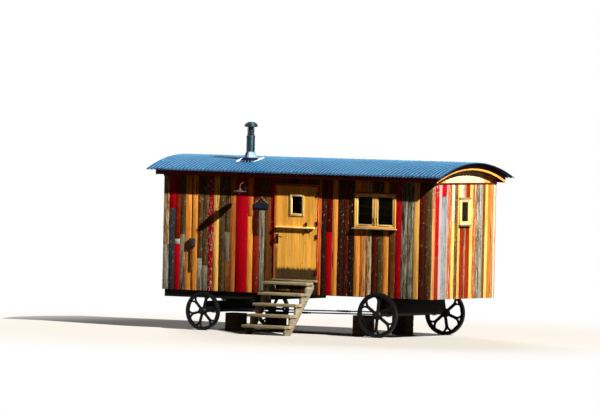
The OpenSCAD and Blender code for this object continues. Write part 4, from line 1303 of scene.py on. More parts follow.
# %% Ledge and brace the leaves
LEDGES = [(1.02, 1.12), (1.70, 1.80), (1.90, 1.99), (2.50, 2.59)]
LEDGE_IN, BRACE_IN, BRACE_END, BRACE_HALF = 0.03, 0.16, 0.02, 0.045


def laid(piece, matrix):
    """Moves and turns a piece, and writes that into its mesh."""
    piece.matrix_world = matrix
    alone(piece)
    bpy.ops.object.transform_apply()
    return piece


ledge_y = leaf_low.y + LEAF_SKIN
ledges = blocks([((leaf_low.x + LEDGE_IN, ledge_y, z0), (leaf_high.x - LEDGE_IN, leaf_high.y, z1))
                 for z0, z1 in LEDGES])
brace_foot, brace_top = LEDGES[0][1], LEDGES[1][0]
run = Vector((leaf_high.x - leaf_low.x - BRACE_IN, 0, brace_top - brace_foot))
half = run.length / 2 - BRACE_END
brace = blocks([((-half, ledge_y, -BRACE_HALF), (half, leaf_high.y, BRACE_HALF))])
centre = Matrix.Translation(((leaf_low.x + leaf_high.x) / 2, 0, (brace_top + brace_foot) / 2))
laid(brace, centre @ Matrix.Rotation(-math.atan2(run.z, run.x), 4, "Y"))
finished(joined([ledges, brace]), "leaf_ledges", PINE, body="door")

# %% [markdown]
# The upper leaf has a small pane in a raised frame, and a ledge at its foot that throws the rain
# clear of the gap between the leaves. A frame is four bars, so that the joints between its stiles
# and rails show as fine lines. The windows use the same helper further on.

# %% Frame the pane of the door
RIM, RIM_OUT, LEDGE_HIGH = 0.042, 0.010, 0.030
BEAD = 0.003


def bars(wall, opening, out, deep, stile, rail, wider=0.0):
    """Corners of a frame of four bars: two stiles of full height and two rails between them."""
    start, end, low, high = opening
    start, end, low, high = start - wider, end + wider, low - wider, high + wider
    spans = [(start, start + stile, low, high), (end - stile, end, low, high),
             (start + stile, end - stile, low, low + rail),
             (start + stile, end - stile, high - rail, high)]
    return [(wall.at(a, out, c), wall.at(b, deep, d)) for a, b, c, d in spans]


face = leaf_low.y - FRONT_Y
rim = blocks(bars(DOOR_WALL, PANE_HOLE, face - RIM_OUT, face + 0.001, RIM, RIM, RIM))
beads = blocks(bars(DOOR_WALL, PANE_HOLE, face + 0.006, face + 0.017, BEAD, BEAD), 0.001, 1)
finished(joined([rim, beads]), "door_window_frame", CREAM_PINE, body="door")
ledge = blocks([((leaf_low.x + 0.008, upper_low.y, upper_low.z),
                 (leaf_low.x + 0.803, leaf_low.y, upper_low.z + LEDGE_HIGH))], 0.004)
finished(shed_water(ledge, DOOR_WALL, 0.006), "drip_ledge", CREAM_PINE, body="door")

# %% [markdown]
# The door hangs on four butt hinges of black iron. They are eased copies of the CAD solids, because
# their halves have to fit each other. Their screws are one turned head, repeated.

# %% Hang the door
HINGE_X, HINGE_PLATE = 0.433, 0.0165
HINGE_HEIGHTS, SCREW_STEPS = (1.090, 1.727, 1.957, 2.470), (-0.028, 0.0, 0.028)


def screws(wall, spots, radius=0.004, head=0.0022):
    """Round screw heads on a wall or on something that hangs on it: (distance, depth, height)."""
    model = spun([(0, head), (radius * 0.6, head * 0.9), (radius, 0.0004), (radius, -0.002)],
                 (0, 0, 0), steps=12)
    turn = facing(-wall.inward)
    return repeated(model, [Matrix.Translation(wall.at(*spot)) @ turn for spot in spots])


plate_face = leaf_low.y - FRONT_Y - 0.003
for side, node, name, body in ((1, "door_hinge_pins", "post_hinges", "hut"),
                               (-1, "door_hinge_leaves", "leaf_hinges", "door")):
    refined(node, name, BLACK_IRON, 0.0007, body)
    spots = [(HINGE_X + side * HINGE_PLATE - LEFT_X, plate_face, z + dz)
             for z in HINGE_HEIGHTS for dz in SCREW_STEPS]
    finished(screws(DOOR_WALL, spots, 0.0035, 0.0014), name + "_screws", BLACK_IRON, body=body)

# %% [markdown]
# The lever turns on a long plate with a collar, and a keyhole lies under it. The lever is a tube
# bent along a line, the collar and the keyhole are turned, and the plate is a box.

# %% Fit the lever
PLATE_HALF, PLATE_THICK, LEVER_R = 0.022, 0.005, 0.0095
LEVER_LINE = ((0.012, 0.0), (0.05, 0.004), (0.088, 0.002), (0.099, -0.006), (0.097, -0.020))
COLLAR = [(0, 0.018), (0.013, 0.018), (0.017, 0.010), (0.022, 0.004), (0.022, 0)]
KEYHOLE = [(0, 0.0025), (0.004, 0.0025), (0.0045, 0.004), (0.009, 0.004), (0.010, 0)]
OUT = (0, -1, 0)

handle_low, handle_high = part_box("door_handle")
spindle_x, spindle_z = handle_low.x + PLATE_HALF, handle_high.z - 0.050
plate_y, lever_y = leaf_low.y - PLATE_THICK, handle_low.y + 0.009
plate = blocks([((handle_low.x, plate_y, handle_low.z),
                 (handle_low.x + 2 * PLATE_HALF, leaf_low.y, handle_high.z))], 0.002)
collar = spun(COLLAR, (spindle_x, plate_y, spindle_z), OUT, 24)
lever = tube([(spindle_x, leaf_low.y - 0.01, spindle_z), (spindle_x, lever_y + 0.006, spindle_z),
              *[(spindle_x + dx, lever_y, spindle_z + dz) for dx, dz in LEVER_LINE]], LEVER_R)
keyhole = spun(KEYHOLE, (spindle_x, plate_y, spindle_z - 0.065), OUT, 24)
finished(joined([plate, collar, lever, keyhole]), "lever_handle", BLACK_IRON, "door_handle",
         "door")
corners = [(spindle_x - LEFT_X + dx, leaf_low.y - FRONT_Y - PLATE_THICK, z)
           for dx in (-0.014, 0.014) for z in (handle_low.z + 0.012, handle_high.z - 0.012)]
finished(screws(DOOR_WALL, corners), "handle_screws", STEEL_PAINTED_REFLECTION, body="door")

# %% [markdown]
# A bolt slides in two staples on the upper leaf and drops into a keeper on the lower one, which
# holds the two leaves together. A hook on the wall keeps the open door. Both are bars, boxes and a
# bent tube.

# %% Fit the bolt and the hook
BOLT_R, BOLT_OUT, PLATE = 0.006, 0.016, 0.003
bolt_low, bolt_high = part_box("door_bolt")
bolt_x, bolt_y = (bolt_low.x + bolt_high.x) / 2, leaf_low.y - BOLT_OUT
bolt_plate_top, keeper_z = bolt_high.z - 0.010, leaf_high.z - 0.045
knob_z, plate_y = bolt_plate_top - 0.035, leaf_low.y - PLATE
plate_heights = ((bolt_plate_top - 0.068, bolt_plate_top), (keeper_z - 0.015, keeper_z + 0.015))
staple_heights = (bolt_plate_top - 0.060, bolt_plate_top - 0.010, keeper_z)
bolt = [rod((bolt_x, bolt_y, bolt_low.z), (bolt_x, bolt_y, bolt_high.z), BOLT_R, 20, 0.0015),
        rod((bolt_x, bolt_y, knob_z), (bolt_x, bolt_low.y, knob_z), 0.007, 16, 0.002),
        blocks([((bolt_low.x, plate_y, z0), (bolt_high.x, leaf_low.y, z1))
                for z0, z1 in plate_heights], 0.001, 1),
        blocks([((bolt_x - 0.010, bolt_y - 0.009, z - 0.005),
                 (bolt_x + 0.010, leaf_low.y - 0.002, z + 0.005)) for z in staple_heights])]
finished(joined(bolt), "leaf_bolt", BLACK_IRON, "door_bolt", "door")

HOOK_R, HOOK_LINE = 0.0045, ((0, 1.85), (0, 1.78), (0, 1.757), (0.010, 1.757), (0.014, 1.775))
hook_low, hook_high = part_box("door_hook")
hook_x, hook_y, eye_z = (hook_low.x + hook_high.x) / 2, hook_low.y + 0.006, hook_high.z - 0.022
hook = [blocks([((hook_low.x, FRONT_Y - 0.005, hook_high.z - 0.044),
                 (hook_high.x, FRONT_Y, hook_high.z))], 0.0015),
        rod((hook_x, FRONT_Y, eye_z), (hook_x, hook_low.y, eye_z), 0.006, 16, 0.0015),
        tube([(hook_x, hook_y, hook_high.z - 0.018),
              *[(hook_x + dx, hook_y, z) for dx, z in HOOK_LINE]], HOOK_R)]
finished(joined(hook), "door_hold_hook", BLACK_IRON, "door_hook")

# %% [markdown]
# The casement has two sashes in a frame of pine, under a drip head and over a sloping sill that has
# weathered to grey. The head is made of the dark rail timber as painted shade, for the shade of the
# eaves that lies on it. Frame, mullion and sashes are bars, so their joints show as fine lines. A
# thin bead runs round each pane, and thin boards line the openings of both windows behind them.

# %% Make the casement
FRAME_OUT, STILE, RAIL, MULLION = 0.012, 0.036, 0.030, 0.039
REVEAL = 0.008
case_low, case_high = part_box("casement_frame")
a0, a1, z0, z1 = WINDOW
middle = (a0 + a1) / 2
outer = bars(DOOR_WALL, WINDOW, -FRAME_OUT, 0.004, BAR, BAR, BAR)
outer.append((DOOR_WALL.at(middle - MULLION / 2, -FRAME_OUT, z0),
              DOOR_WALL.at(middle + MULLION / 2, 0.05, z1)))
finished(blocks(outer), "casement_bars", PINE, "casement_frame")
head = blocks([((LEFT_X + a0 - BAR - 0.025, FRONT_Y - 0.026, z1 + BAR),
                (LEFT_X + a1 + BAR + 0.025, FRONT_Y, case_high.z))])
sill = blocks([((case_low.x, case_low.y, case_low.z + 0.008), (case_high.x, FRONT_Y, z0 - BAR))])
# Painted shade: the head is dark because the eaves shade it
finished(shed_water(head, DOOR_WALL, 0.008), "casement_head", RAIL_STAIN_AND_SHADE)
finished(shed_water(sill, DOOR_WALL, 0.012), "casement_sill", STEP_TIMBER)
sash_bars, bead_bars = [], []
for b0, b1 in ((a0, middle - MULLION / 2), (middle + MULLION / 2, a1)):
    pane = b0 + STILE, b1 - STILE, z0 + RAIL, z1 - RAIL
    sash_bars += bars(DOOR_WALL, (b0, b1, z0, z1), -0.008, 0.032, STILE, RAIL, -0.001)
    bead_bars += bars(DOOR_WALL, pane, 0.001, 0.0075, BEAD, BEAD)
finished(blocks(sash_bars), "casement_sash_bars", CREAM_PINE, "casement_sashes")
finished(blocks(bead_bars, 0.002, 1), "casement_beads", CREAM_PINE)
reveals = bars(DOOR_WALL, WINDOW, 0.033, WALL + 0.004, REVEAL, REVEAL)
reveals += bars(RIGHT_WALL, GABLE_WINDOW, 0.044, WALL + 0.004, REVEAL, REVEAL)
finished(blocks(reveals, 0.001, 1), "window_reveals", LINING)

# %% [markdown]
# Two catches, two stays and a knob keep the sashes shut. They are small boxes and rods, all at set
# distances from the mullion.

# %% Fit the catches of the casement
SIDES = (-1, 1)
mullion_x, stay_z, knob_z = LEFT_X + middle, z0 + 0.012, z0 + 0.055
catches = [blocks([((mullion_x + s * 0.034 - 0.006, FRONT_Y - 0.013, z0 + 0.07),
                    (mullion_x + s * 0.034 + 0.006, FRONT_Y - 0.008, z0 + 0.15))], 0.0015)
           for s in SIDES]
stays = [tube([(mullion_x + s * 0.10, FRONT_Y - 0.014, stay_z),
               (mullion_x + s * 0.30, FRONT_Y - 0.014, stay_z)], 0.003, 8, False) for s in SIDES]
knob = rod((mullion_x, FRONT_Y - FRAME_OUT, knob_z), (mullion_x, FRONT_Y - 0.028, knob_z), 0.009,
           16, 0.002)
finished(joined([*catches, *stays, knob]), "casement_catches", BLACK_IRON)

# %% [markdown]
# The right-hand wall has a single light of the same kind, with a head and a sill of grey timber. The
# panes of both windows and of the door stay as they come from the frame, and get glass with a hair
# of bevel, so that their edges catch the light.

# %% Make the gable window and glaze all three
LIGHT_FRAME_OUT, LIGHT_STILE, LIGHT_RAIL = 0.028, 0.045, 0.025
g0, g1, h0, h1 = GABLE_WINDOW
light_start, light_end = g0 - BAR - LIGHT_OVER, g1 + BAR + LIGHT_OVER
light_frame = bars(RIGHT_WALL, GABLE_WINDOW, -LIGHT_FRAME_OUT, 0.004, BAR, BAR, BAR)
finished(blocks(light_frame), "gable_window_bars", CREAM_PINE, "gable_window_frame")
light_sash = bars(RIGHT_WALL, GABLE_WINDOW, -0.020, 0.022, LIGHT_STILE, LIGHT_RAIL)
finished(blocks(light_sash), "gable_window_sash", CREAM_PINE)
head = blocks([(RIGHT_WALL.at(light_start, -0.045, h1 + BAR),
                RIGHT_WALL.at(light_end, 0, light_high.z))])
sill = blocks([(RIGHT_WALL.at(light_start, -0.055, light_low.z),
                RIGHT_WALL.at(light_end, 0, h0 - BAR))])
finished(shed_water(head, RIGHT_WALL, 0.008), "gable_window_head", BLOCK_TIMBER, slot="pine")
finished(shed_water(sill, RIGHT_WALL, 0.010), "gable_window_sill", STEP_TIMBER, slot="pine")

for node in ("door_glass", "window_glass"):
    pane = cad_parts[node]
    pane.data.materials.clear()
    pane.data.materials.append(GLASS)
    bevel = pane.modifiers.new("ease", "BEVEL")
    bevel.width, bevel.segments = 0.0006, 1
print("glazed", len(sash_bars) // 4 + 1, "lights and the pane of the door")

# %% [markdown]
# The flue of the stove comes through the roof in a stepped rubber boot with a bright metal edge. The
# boot's steps are turned, so a profile is spun. Its square foot has to lie on a curved roof, so it is
# a grid bent to the same arc as the sheets. A row of screws runs round its edge.

# %% Seal the flue to the roof
pipe_low, pipe_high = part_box("flue_pipe")
cowl_low, cowl_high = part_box("flue_cowl")
foot_low, foot_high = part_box("flue_flashing")
flue = Vector(((pipe_low.x + pipe_high.x) / 2, (pipe_low.y + pipe_high.y) / 2, 0))
base = ROOF_CENTRE.z + ROOF_R * math.cos(math.asin((flue.y - ROOF_CENTRE.y) / ROOF_R))
FOOT_HALF_X, FOOT_HALF_Y = (foot_high.x - foot_low.x) / 2, 0.170
EDGE, EDGE_LOW, EDGE_HIGH = 0.016, -0.002, 0.0105
EDGE_IN, EDGE_SCREWS = 0.008, 6
BOOT = [(0.166, -0.055), (0.166, 0.008), (0.160, 0.014), (0.154, 0.015), (0.151, 0.024),
        (0.145, 0.026), (0.141, 0.038), (0.134, 0.040), (0.120, 0.040), (0.080, 0.030)]
BOOT_SCREW = [(0, 0.006), (0.005, 0.005), (0.008, 0.0), (0.008, -0.003)]


def up_flue(height):
    """The middle of the flue at a height."""
    return flue + Vector((0, 0, height))


def curved_plate(span, low, high, columns=8, rows=8):
    """A thin plate that lies on the roof, from low to high above its crests."""
    x0, x1, y0, y1 = span

    def place(u, v):
        across = (y0 + (y1 - y0) * (v + 1) / 2 - ROOF_CENTRE.y) / ROOF_R
        return roof_point(x0 + (x1 - x0) * (u + 1) / 2, math.asin(across), ROOF_R + high)

    return bent_plate(columns, rows, place, high - low, -1)


x0, x1 = flue.x - FOOT_HALF_X, flue.x + FOOT_HALF_X
y0, y1 = flue.y - FOOT_HALF_Y, flue.y + FOOT_HALF_Y
foot = curved_plate((x0 + 0.012, x1 - 0.012, y0 + 0.001, y1 - 0.001), -0.004, 0.0095)
boot = spun(BOOT, up_flue(base), steps=64)
finished(joined([foot, boot]), "rubber_boot", RUBBER, "flue_flashing")
strips = [((x1 - EDGE, x1, y0, y1), 1, 8), ((x0, x0 + EDGE, y0, y1), 1, 8),
          ((x0 + EDGE, x0 + 0.07, y0, y0 + EDGE), 2, 1),
          ((x1 - 0.05, x1 - EDGE, y0, y0 + EDGE), 2, 1)]
edges = [curved_plate(span, EDGE_LOW, EDGE_HIGH, columns, rows) for span, columns, rows in strips]
finished(joined(edges), "boot_edge_strips", BRIGHT_STEEL)
along = [(x0 + EDGE_IN + (x1 - x0 - 2 * EDGE_IN) * k / EDGE_SCREWS, y)
         for k in range(EDGE_SCREWS + 1) for y in (y0 + EDGE_IN, y1 - EDGE_IN)]
beside = [(x, y0 + EDGE_IN + (y1 - y0 - 2 * EDGE_IN) * k / EDGE_SCREWS)
          for k in range(1, EDGE_SCREWS) for x in (x0 + EDGE_IN, x1 - EDGE_IN)]
spots = [on_roof(x, math.asin((y - ROOF_CENTRE.y) / ROOF_R), ROOF_R + EDGE_HIGH)
         for x, y in along + beside]
finished(repeated(spun(BOOT_SCREW, (0, 0, 0), steps=10), spots), "boot_screws", BRIGHT_STEEL)

# %% [markdown]
# Over the boot stands a cone folded from sheet, with ten flats. It is spun too, in as many steps as
# it has flats, and the edges between them stay sharp. Dark sealant lies down one side of it: a
# slightly larger cone, cut to a strip. The polished pipe rises out of the cone, with a bead round it
# and a folded seam behind.

# %% Raise the cone and the pipe
CONE_SIDES = 10
PIPE_R, CONE_TOP = (pipe_high.x - pipe_low.x) / 2, 3.185
PIPE_FOOT, PIPE_BEAD, PIPE_WALL = CONE_TOP - 0.14, 3.300, 0.003
rise = CONE_TOP - base
cone = spun([(0.125, 0.036), (0.124, 0.044), (PIPE_R + 0.012, rise - 0.02), (PIPE_R + 0.010, rise),
             (PIPE_R + 0.001, rise)], up_flue(base), steps=CONE_SIDES)
seal = spun([(0.127, 0.038), (0.126, 0.046), (PIPE_R + 0.014, rise - 0.02),
             (PIPE_R + 0.012, rise - 0.004), (PIPE_R + 0.002, rise - 0.01), (0.110, 0.038)],
            up_flue(base), steps=CONE_SIDES)
strip = blocks([((flue.x - 0.034, flue.y - 0.2, base), (flue.x - 0.002, flue.y, CONE_TOP + 0.01))],
               ease=0)
finished(cone, "folded_cone", ZINC, smooth=20)
finished(cut(seal, strip, "INTERSECT"), "cone_seal", RUBBER, smooth=20)
outer_r = PIPE_R + PIPE_WALL
pipe = spun([(PIPE_R, PIPE_FOOT), (PIPE_R, PIPE_BEAD), (outer_r, PIPE_BEAD + 0.002),
             (outer_r, PIPE_BEAD + 0.016), (PIPE_R, PIPE_BEAD + 0.018),
             (PIPE_R, pipe_high.z - 0.012), (outer_r, pipe_high.z - 0.010), (outer_r, pipe_high.z),
             (PIPE_R - PIPE_WALL, pipe_high.z), (PIPE_R - PIPE_WALL, PIPE_FOOT)], flue, steps=72)
seam = blocks([((flue.x - PIPE_R * 0.5 - 0.004, flue.y + PIPE_R * 0.86, CONE_TOP),
                (flue.x - PIPE_R * 0.5 + 0.004, flue.y + PIPE_R * 0.89, pipe_high.z))], 0.001, 1)
finished(joined([pipe, seam]), "polished_flue_pipe", STEEL_PAINTED_REFLECTION, "flue_pipe")

# %% [markdown]
# The cowl is a spun cap on a neck of wire mesh. The cap, its collar and two bands are profiles spun
# round the flue. The mesh could be a see-through texture, but its upright wires and rings are few
# enough to be real. A plain dark rod inside them is painted shade: it fills the hollow of the neck
# with the dark that its shade gives it.

# %% Top the flue with its cowl
NECK_R, NECK_TOP = 0.061, cowl_high.z - 0.092
CAP_R = (cowl_high.x - cowl_low.x) / 2
WIRES, RINGS, WIRE = 40, 12, 0.0015
CAP = [(0.0, 0.000), (CAP_R - 0.020, 0.000), (CAP_R - 0.004, 0.004), (CAP_R, 0.010),
       (CAP_R, 0.020), (CAP_R - 0.003, 0.032), (CAP_R - 0.006, 0.050), (CAP_R - 0.018, 0.062),
       (0.080, 0.074), (0.064, 0.088), (0.040, 0.092), (0.0, 0.092)]
PIPE_COLLAR = [(PIPE_R + 0.003, 0.0), (PIPE_R + 0.003, 0.022), (NECK_R + 0.004, 0.030),
               (NECK_R - 0.003, 0.030), (NECK_R - 0.003, 0.0)]
BAND = [(NECK_R, -0.007), (NECK_R + 0.003, -0.006), (NECK_R + 0.003, 0.006), (NECK_R, 0.007)]
RING = [(NECK_R - WIRE, 0), (NECK_R, WIRE), (NECK_R + WIRE, 0), (NECK_R, -WIRE),
        (NECK_R - WIRE, 0)]

cap = spun(CAP, up_flue(NECK_TOP), steps=72)
collar = spun(PIPE_COLLAR, up_flue(pipe_high.z), steps=72)
bands = [spun(BAND, up_flue(pipe_high.z + up), steps=48) for up in (0.062, 0.108)]
finished(joined([cap, collar, *bands]), "spun_cowl", STEEL_PAINTED_REFLECTION, "flue_cowl")
wire = rod((NECK_R, 0, pipe_high.z + 0.02), (NECK_R, 0, NECK_TOP + 0.004), 0.0016, 6)
wires = repeated(wire, [Matrix.Translation(flue) @ Matrix.Rotation(2 * math.pi * k / WIRES, 4, "Z")
                        for k in range(WIRES)])
mesh_high = NECK_TOP - pipe_high.z - 0.04
rings = [spun(RING, up_flue(pipe_high.z + 0.034 + mesh_high * k / RINGS), steps=40)
         for k in range(RINGS)]
# Painted shade: a dark rod fills the hollow of the neck
core = rod(up_flue(pipe_high.z), up_flue(NECK_TOP + 0.002), 0.048, 32)
finished(joined([wires, core, *rings]), "mesh_neck", DARK_STEEL)

# %% [markdown]
# A swan-neck lamp with a flat shade hangs beside the door. The shade, its cap and the bulb are
# turned. The neck follows a half circle, so its points come from a formula.

# %% Hang the lamp
lamp_low, lamp_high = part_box("wall_lamp")
SHADE_R = (lamp_high.x - lamp_low.x) / 2
BEND_R, STEM, NECK_STEPS = 0.094, 0.060, 12
SHADE = [(0.030, 0.020), (0.050, 0.017), (0.090, 0.009), (SHADE_R - 0.002, 0.006),
         (SHADE_R, 0.003), (SHADE_R, -0.008), (SHADE_R - 0.004, -0.008), (SHADE_R - 0.005, 0.0),
         (0.090, 0.006), (0.050, 0.014), (0.020, 0.016)]
SHADE_CAP = [(0.0, 0.056), (0.012, 0.056), (0.016, 0.050), (0.023, 0.046), (0.027, 0.036),
             (0.034, 0.022), (0.036, 0.016)]
BULB = [(0.0, -0.050), (0.010, -0.048), (0.019, -0.040), (0.023, -0.028), (0.022, -0.014),
        (0.014, 0.000), (0.013, 0.016)]
ROSE = [(0.0, 0.024), (0.009, 0.024), (0.012, 0.014), (0.028, 0.010), (0.032, 0.006), (0.032, 0.0)]

lamp = Vector(((lamp_low.x + lamp_high.x) / 2, lamp_low.y + SHADE_R, 2.490))
shade, cap = spun(SHADE, lamp, steps=64), spun(SHADE_CAP, lamp, steps=40)
finished(joined([shade, cap]), "lamp_shade", LAMP_GREY_SHADED, "wall_lamp")
finished(spun(BULB, lamp, steps=32), "lamp_bulb", LAMP_BULB_SHADED)
turns = [math.pi * k / NECK_STEPS for k in range(NECK_STEPS + 1)]
bend = [(lamp.x, lamp.y + BEND_R * (1 - math.cos(t)), lamp.z + STEM + BEND_R * math.sin(t))
        for t in turns]
neck = tube([(lamp.x, lamp.y, lamp.z + 0.045), *bend,
             (lamp.x, lamp.y + 2 * BEND_R, lamp.z + STEM - 0.006)], 0.0065)
rose = spun(ROSE, (lamp.x, FRONT_Y, lamp.z + STEM), OUT, 40)
finished(joined([neck, rose]), "lamp_neck", LAMP_NECK_SHADED)

# %% [markdown]
# A bare slate hangs on a cord from one nail. Its edges are chipped: the box is subdivided, and the
# points along its rim are nudged inwards by chance.

# %% Hang the slate
NAIL_Z, SLATE_HIGH, SLATE_MIDDLE, HOLE_IN, SLATE_THICK = 2.400, 2.293, 2.25, 0.020, 0.008
RIM_REACH, CHIP_X, CHIP_Z, RIVEN = 0.001, 0.006, 0.004, 0.0008
sign_low, sign_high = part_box("hanging_sign")
sign_x, sign_y = (sign_low.x + sign_high.x) / 2, FRONT_Y - 0.008
slate = blocks([((sign_low.x, sign_y - SLATE_THICK / 2, sign_low.z),
                 (sign_high.x, sign_y + SLATE_THICK / 2, SLATE_HIGH))], ease=0)
bpy.ops.object.mode_set(mode="EDIT")
bpy.ops.mesh.select_all(action="SELECT")
bpy.ops.mesh.subdivide(number_cuts=9)
bpy.ops.object.mode_set(mode="OBJECT")
for v in slate.data.vertices:
    rim_x = min(v.co.x - sign_low.x, sign_high.x - v.co.x)
    rim_z = min(v.co.z - sign_low.z, SLATE_HIGH - v.co.z)
    if rim_x < RIM_REACH:
        v.co.x += random.uniform(0.0, CHIP_X) * (1 if v.co.x < sign_x else -1)
    if rim_z < RIM_REACH:
        v.co.z += random.uniform(0.0, CHIP_Z) * (1 if v.co.z < SLATE_MIDDLE else -1)
    v.co.y += random.uniform(-RIVEN, RIVEN)
finished(slate, "bare_slate", SLATE, "hanging_sign", smooth=20)
left_x, right_x = sign_low.x + HOLE_IN, sign_high.x - HOLE_IN
cord = tube([(left_x, sign_y - 0.006, SLATE_HIGH - 0.012), (left_x, sign_y - 0.005, SLATE_HIGH),
             (sign_x, sign_y - 0.002, NAIL_Z + 0.005), (right_x, sign_y - 0.005, SLATE_HIGH),
             (right_x, sign_y - 0.006, SLATE_HIGH - 0.012)], 0.0026, 8, False)
finished(cord, "sign_cord", CORD_PALE)
nail = rod((sign_x, FRONT_Y + 0.004, NAIL_Z), (sign_x, sign_y - 0.007, NAIL_Z), 0.004, 10, 0.001)
finished(nail, "sign_nail", BLACK_IRON)

# %% [markdown]
# Power comes in through a small box with a lid, and a conduit runs down from it, held by two clips,
# until it turns into the wall.

# %% Fit the power box
CASE_LOW, CONDUIT_R, CLIPS = 1.475, 0.009, (1.13, 1.38)
GLAND = [(0.011, -0.022), (0.015, -0.020), (0.015, -0.006), (0.013, 0.002)]
box_low, box_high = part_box("junction_box")
box_x = (box_low.x + box_high.x) / 2
conduit = Vector((box_x - 0.012, FRONT_Y - 0.016, 0))
case = blocks([((box_low.x + 0.002, FRONT_Y - 0.030, CASE_LOW + 0.002),
                (box_high.x - 0.002, FRONT_Y, box_high.z - 0.002)),
               ((box_low.x, box_low.y, CASE_LOW), (box_high.x, FRONT_Y - 0.031, box_high.z))])
gland = spun(GLAND, conduit + Vector((0, 0, CASE_LOW)), steps=6)
pipe = tube([*[(conduit.x, conduit.y, z) for z in (CASE_LOW, 1.20, 1.075, 1.052)],
             (conduit.x, conduit.y + 0.02, 1.050)], CONDUIT_R, 16)
clips = blocks([((conduit.x - 0.020, conduit.y - 0.011, z - 0.007),
                 (conduit.x + 0.020, FRONT_Y, z + 0.007)) for z in CLIPS])
finished(joined([case, gland, pipe, clips]), "power_box", BOX_GREY, "junction_box")
lid = [(box_x - LEFT_X + dx, -0.040, z) for dx in (-0.044, 0.044)
       for z in (CASE_LOW + 0.012, box_high.z - 0.012)]
finished(screws(DOOR_WALL, lid), "power_box_screws", STEEL_PAINTED_REFLECTION)

# %% [markdown]
# Under the hut the front axle turns on a pair of iron rings round a king pin. The rings are spun,
# and a ring of bolts holds them to the timbers.

# %% Build the turntable
RING_WIDE, RING_SPLIT, RING_BOLTS = 0.070, (0.46, 0.54), 12


def hexagon_bolts(spots, across=0.011, high=0.009, axis=(0, 0, -1)):
    """Bolt heads with washers at a list of points, all facing one way."""
    model = joined([rod((0, 0, -0.004), (0, 0, 0.002), across * 1.5, 16),
                    rod((0, 0, 0), (0, 0, high), across, 6, 0.001)])
    return repeated(model, [Matrix.Translation(spot) @ facing(axis) for spot in spots])


ring_low, ring_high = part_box("turntable")
ring_x, ring_r = (ring_low.x + ring_high.x) / 2, (ring_high.x - ring_low.x) / 2
inner_r, bolts_r = ring_r - RING_WIDE, ring_r - RING_WIDE / 2
tall, foot = ring_high.z - ring_low.z, (ring_x, MIDDLE_Y, ring_low.z)
rings = [spun([(inner_r, z0), (ring_r, z0), (ring_r, z1), (inner_r, z1), (inner_r, z0)], foot,
              steps=72)
         for z0, z1 in ((0.0, tall * RING_SPLIT[0]), (tall * RING_SPLIT[1], tall))]
pin = spun([(0, 0), (0.045, 0), (0.045, tall), (0, tall)], foot, steps=32)
cross = blocks([((ring_x - 0.06, MIDDLE_Y - ring_r + 0.01, ring_low.z),
                 (ring_x + 0.06, MIDDLE_Y + ring_r - 0.01, ring_low.z + 0.020))])
finished(joined([*rings, pin, cross]), "turntable_rings", CAST_IRON, "turntable")
turns = [2 * math.pi * (k + 0.5) / RING_BOLTS for k in range(RING_BOLTS)]
around = [Vector((ring_x + bolts_r * math.cos(t), MIDDLE_Y + bolts_r * math.sin(t), ring_low.z))
          for t in turns]
finished(hexagon_bolts(around), "turntable_bolts", BLACK_IRON)

# %% [markdown]
# The axles are square bars with round ends, tied together by two long rods with a turnbuckle in the
# middle of each, and held to their timbers by iron hoops. The round ends are made a hair slimmer,
# so that the facets of a wheel's bore never meet those of its pin as the wheel turns.

# %% Fit the axles, rods and hoops
PIN_R, PIN_SLIM = 0.022, 0.985
HOOP_Y, HOOP_HALF, HOOP_LOW, HOOP_R = 0.80, 0.036, 0.034, 0.008
axles = refined("axles", "square_axles", BLACK_IRON, 0.003)
for node in ("front_wheel_door_side", "rear_wheel_door_side"):
    low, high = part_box(node)
    for v in axles.data.vertices:
        off = Vector((v.co.x - (low.x + high.x) / 2, 0, v.co.z - (low.z + high.z) / 2))
        if off.length < PIN_R + 0.0005:
            v.co -= off * (1 - PIN_SLIM)
refined("tie_rods", "axle_tie_rods", BLACK_IRON, 0.001)
rods_low, rods_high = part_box("tie_rods")
tie_x, tie_z = (rods_low.x + rods_high.x) / 2, (rods_low.z + rods_high.z) / 2
buckles = []
for y in (rods_low.y + 0.012, rods_high.y - 0.012):
    buckles.append(rod((tie_x - 0.09, y, tie_z), (tie_x + 0.09, y, tie_z), 0.019, 8, 0.003))
    for s in SIDES:
        nut = (tie_x + s * 0.115, y, tie_z), (tie_x + s * 0.135, y, tie_z)
        buckles.append(rod(*nut, 0.020, 6, 0.002))
finished(joined(buckles), "rod_turnbuckles", BLACK_IRON)

hoops = []
for node, rise in (("front_wheel_door_side", 0.11), ("rear_wheel_door_side", 0.20)):
    low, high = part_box(node)
    x, z = (low.x + high.x) / 2, (low.z + high.z) / 2
    left_x, right_x, top = x - HOOP_HALF, x + HOOP_HALF, z + rise
    for y in (MIDDLE_Y - HOOP_Y, MIDDLE_Y + HOOP_Y):
        hoops.append(tube([(left_x, y, top), (left_x, y, z - HOOP_LOW), (right_x, y, z - HOOP_LOW),
                           (right_x, y, top)], HOOP_R, smooth=False))
        hoops.append(blocks([((x - 0.086, y - 0.03, top - 0.10),
                              (x + 0.086, y + 0.03, top - 0.09))], 0.002))
finished(joined(hoops), "axle_hoops", BLACK_IRON)

# %% [markdown]
# The wheels are cast iron, with six spokes that fork where they meet the rim. The CAD solid already
# has the openings, so a merged copy is eased like a casting. What the casting adds is spun or
# repeated: a lip on each edge of the rim, a rib down each spoke and along its two arms, a stepped
# hub and a ring of bolts on it. Every wheel rides on its own body, so it can turn on its own.

# %% Cast the wheels
WHEELS = {"front_wheel_door_side": ("front_near_wheel", 14),
          "front_wheel_far_side": ("front_far_wheel", 0),
          "rear_wheel_door_side": ("rear_near_wheel", 25),
          "rear_wheel_far_side": ("rear_far_wheel", 40)}
SPOKES, FORK_ANGLE = 6, math.radians(12)
RIB_SHARE, FORK_SHARE, RIM_SHARE, BOLT_SHARE = 0.20, 0.66, 0.87, 0.185
WEB, RIM_HALF = 0.013, 0.035


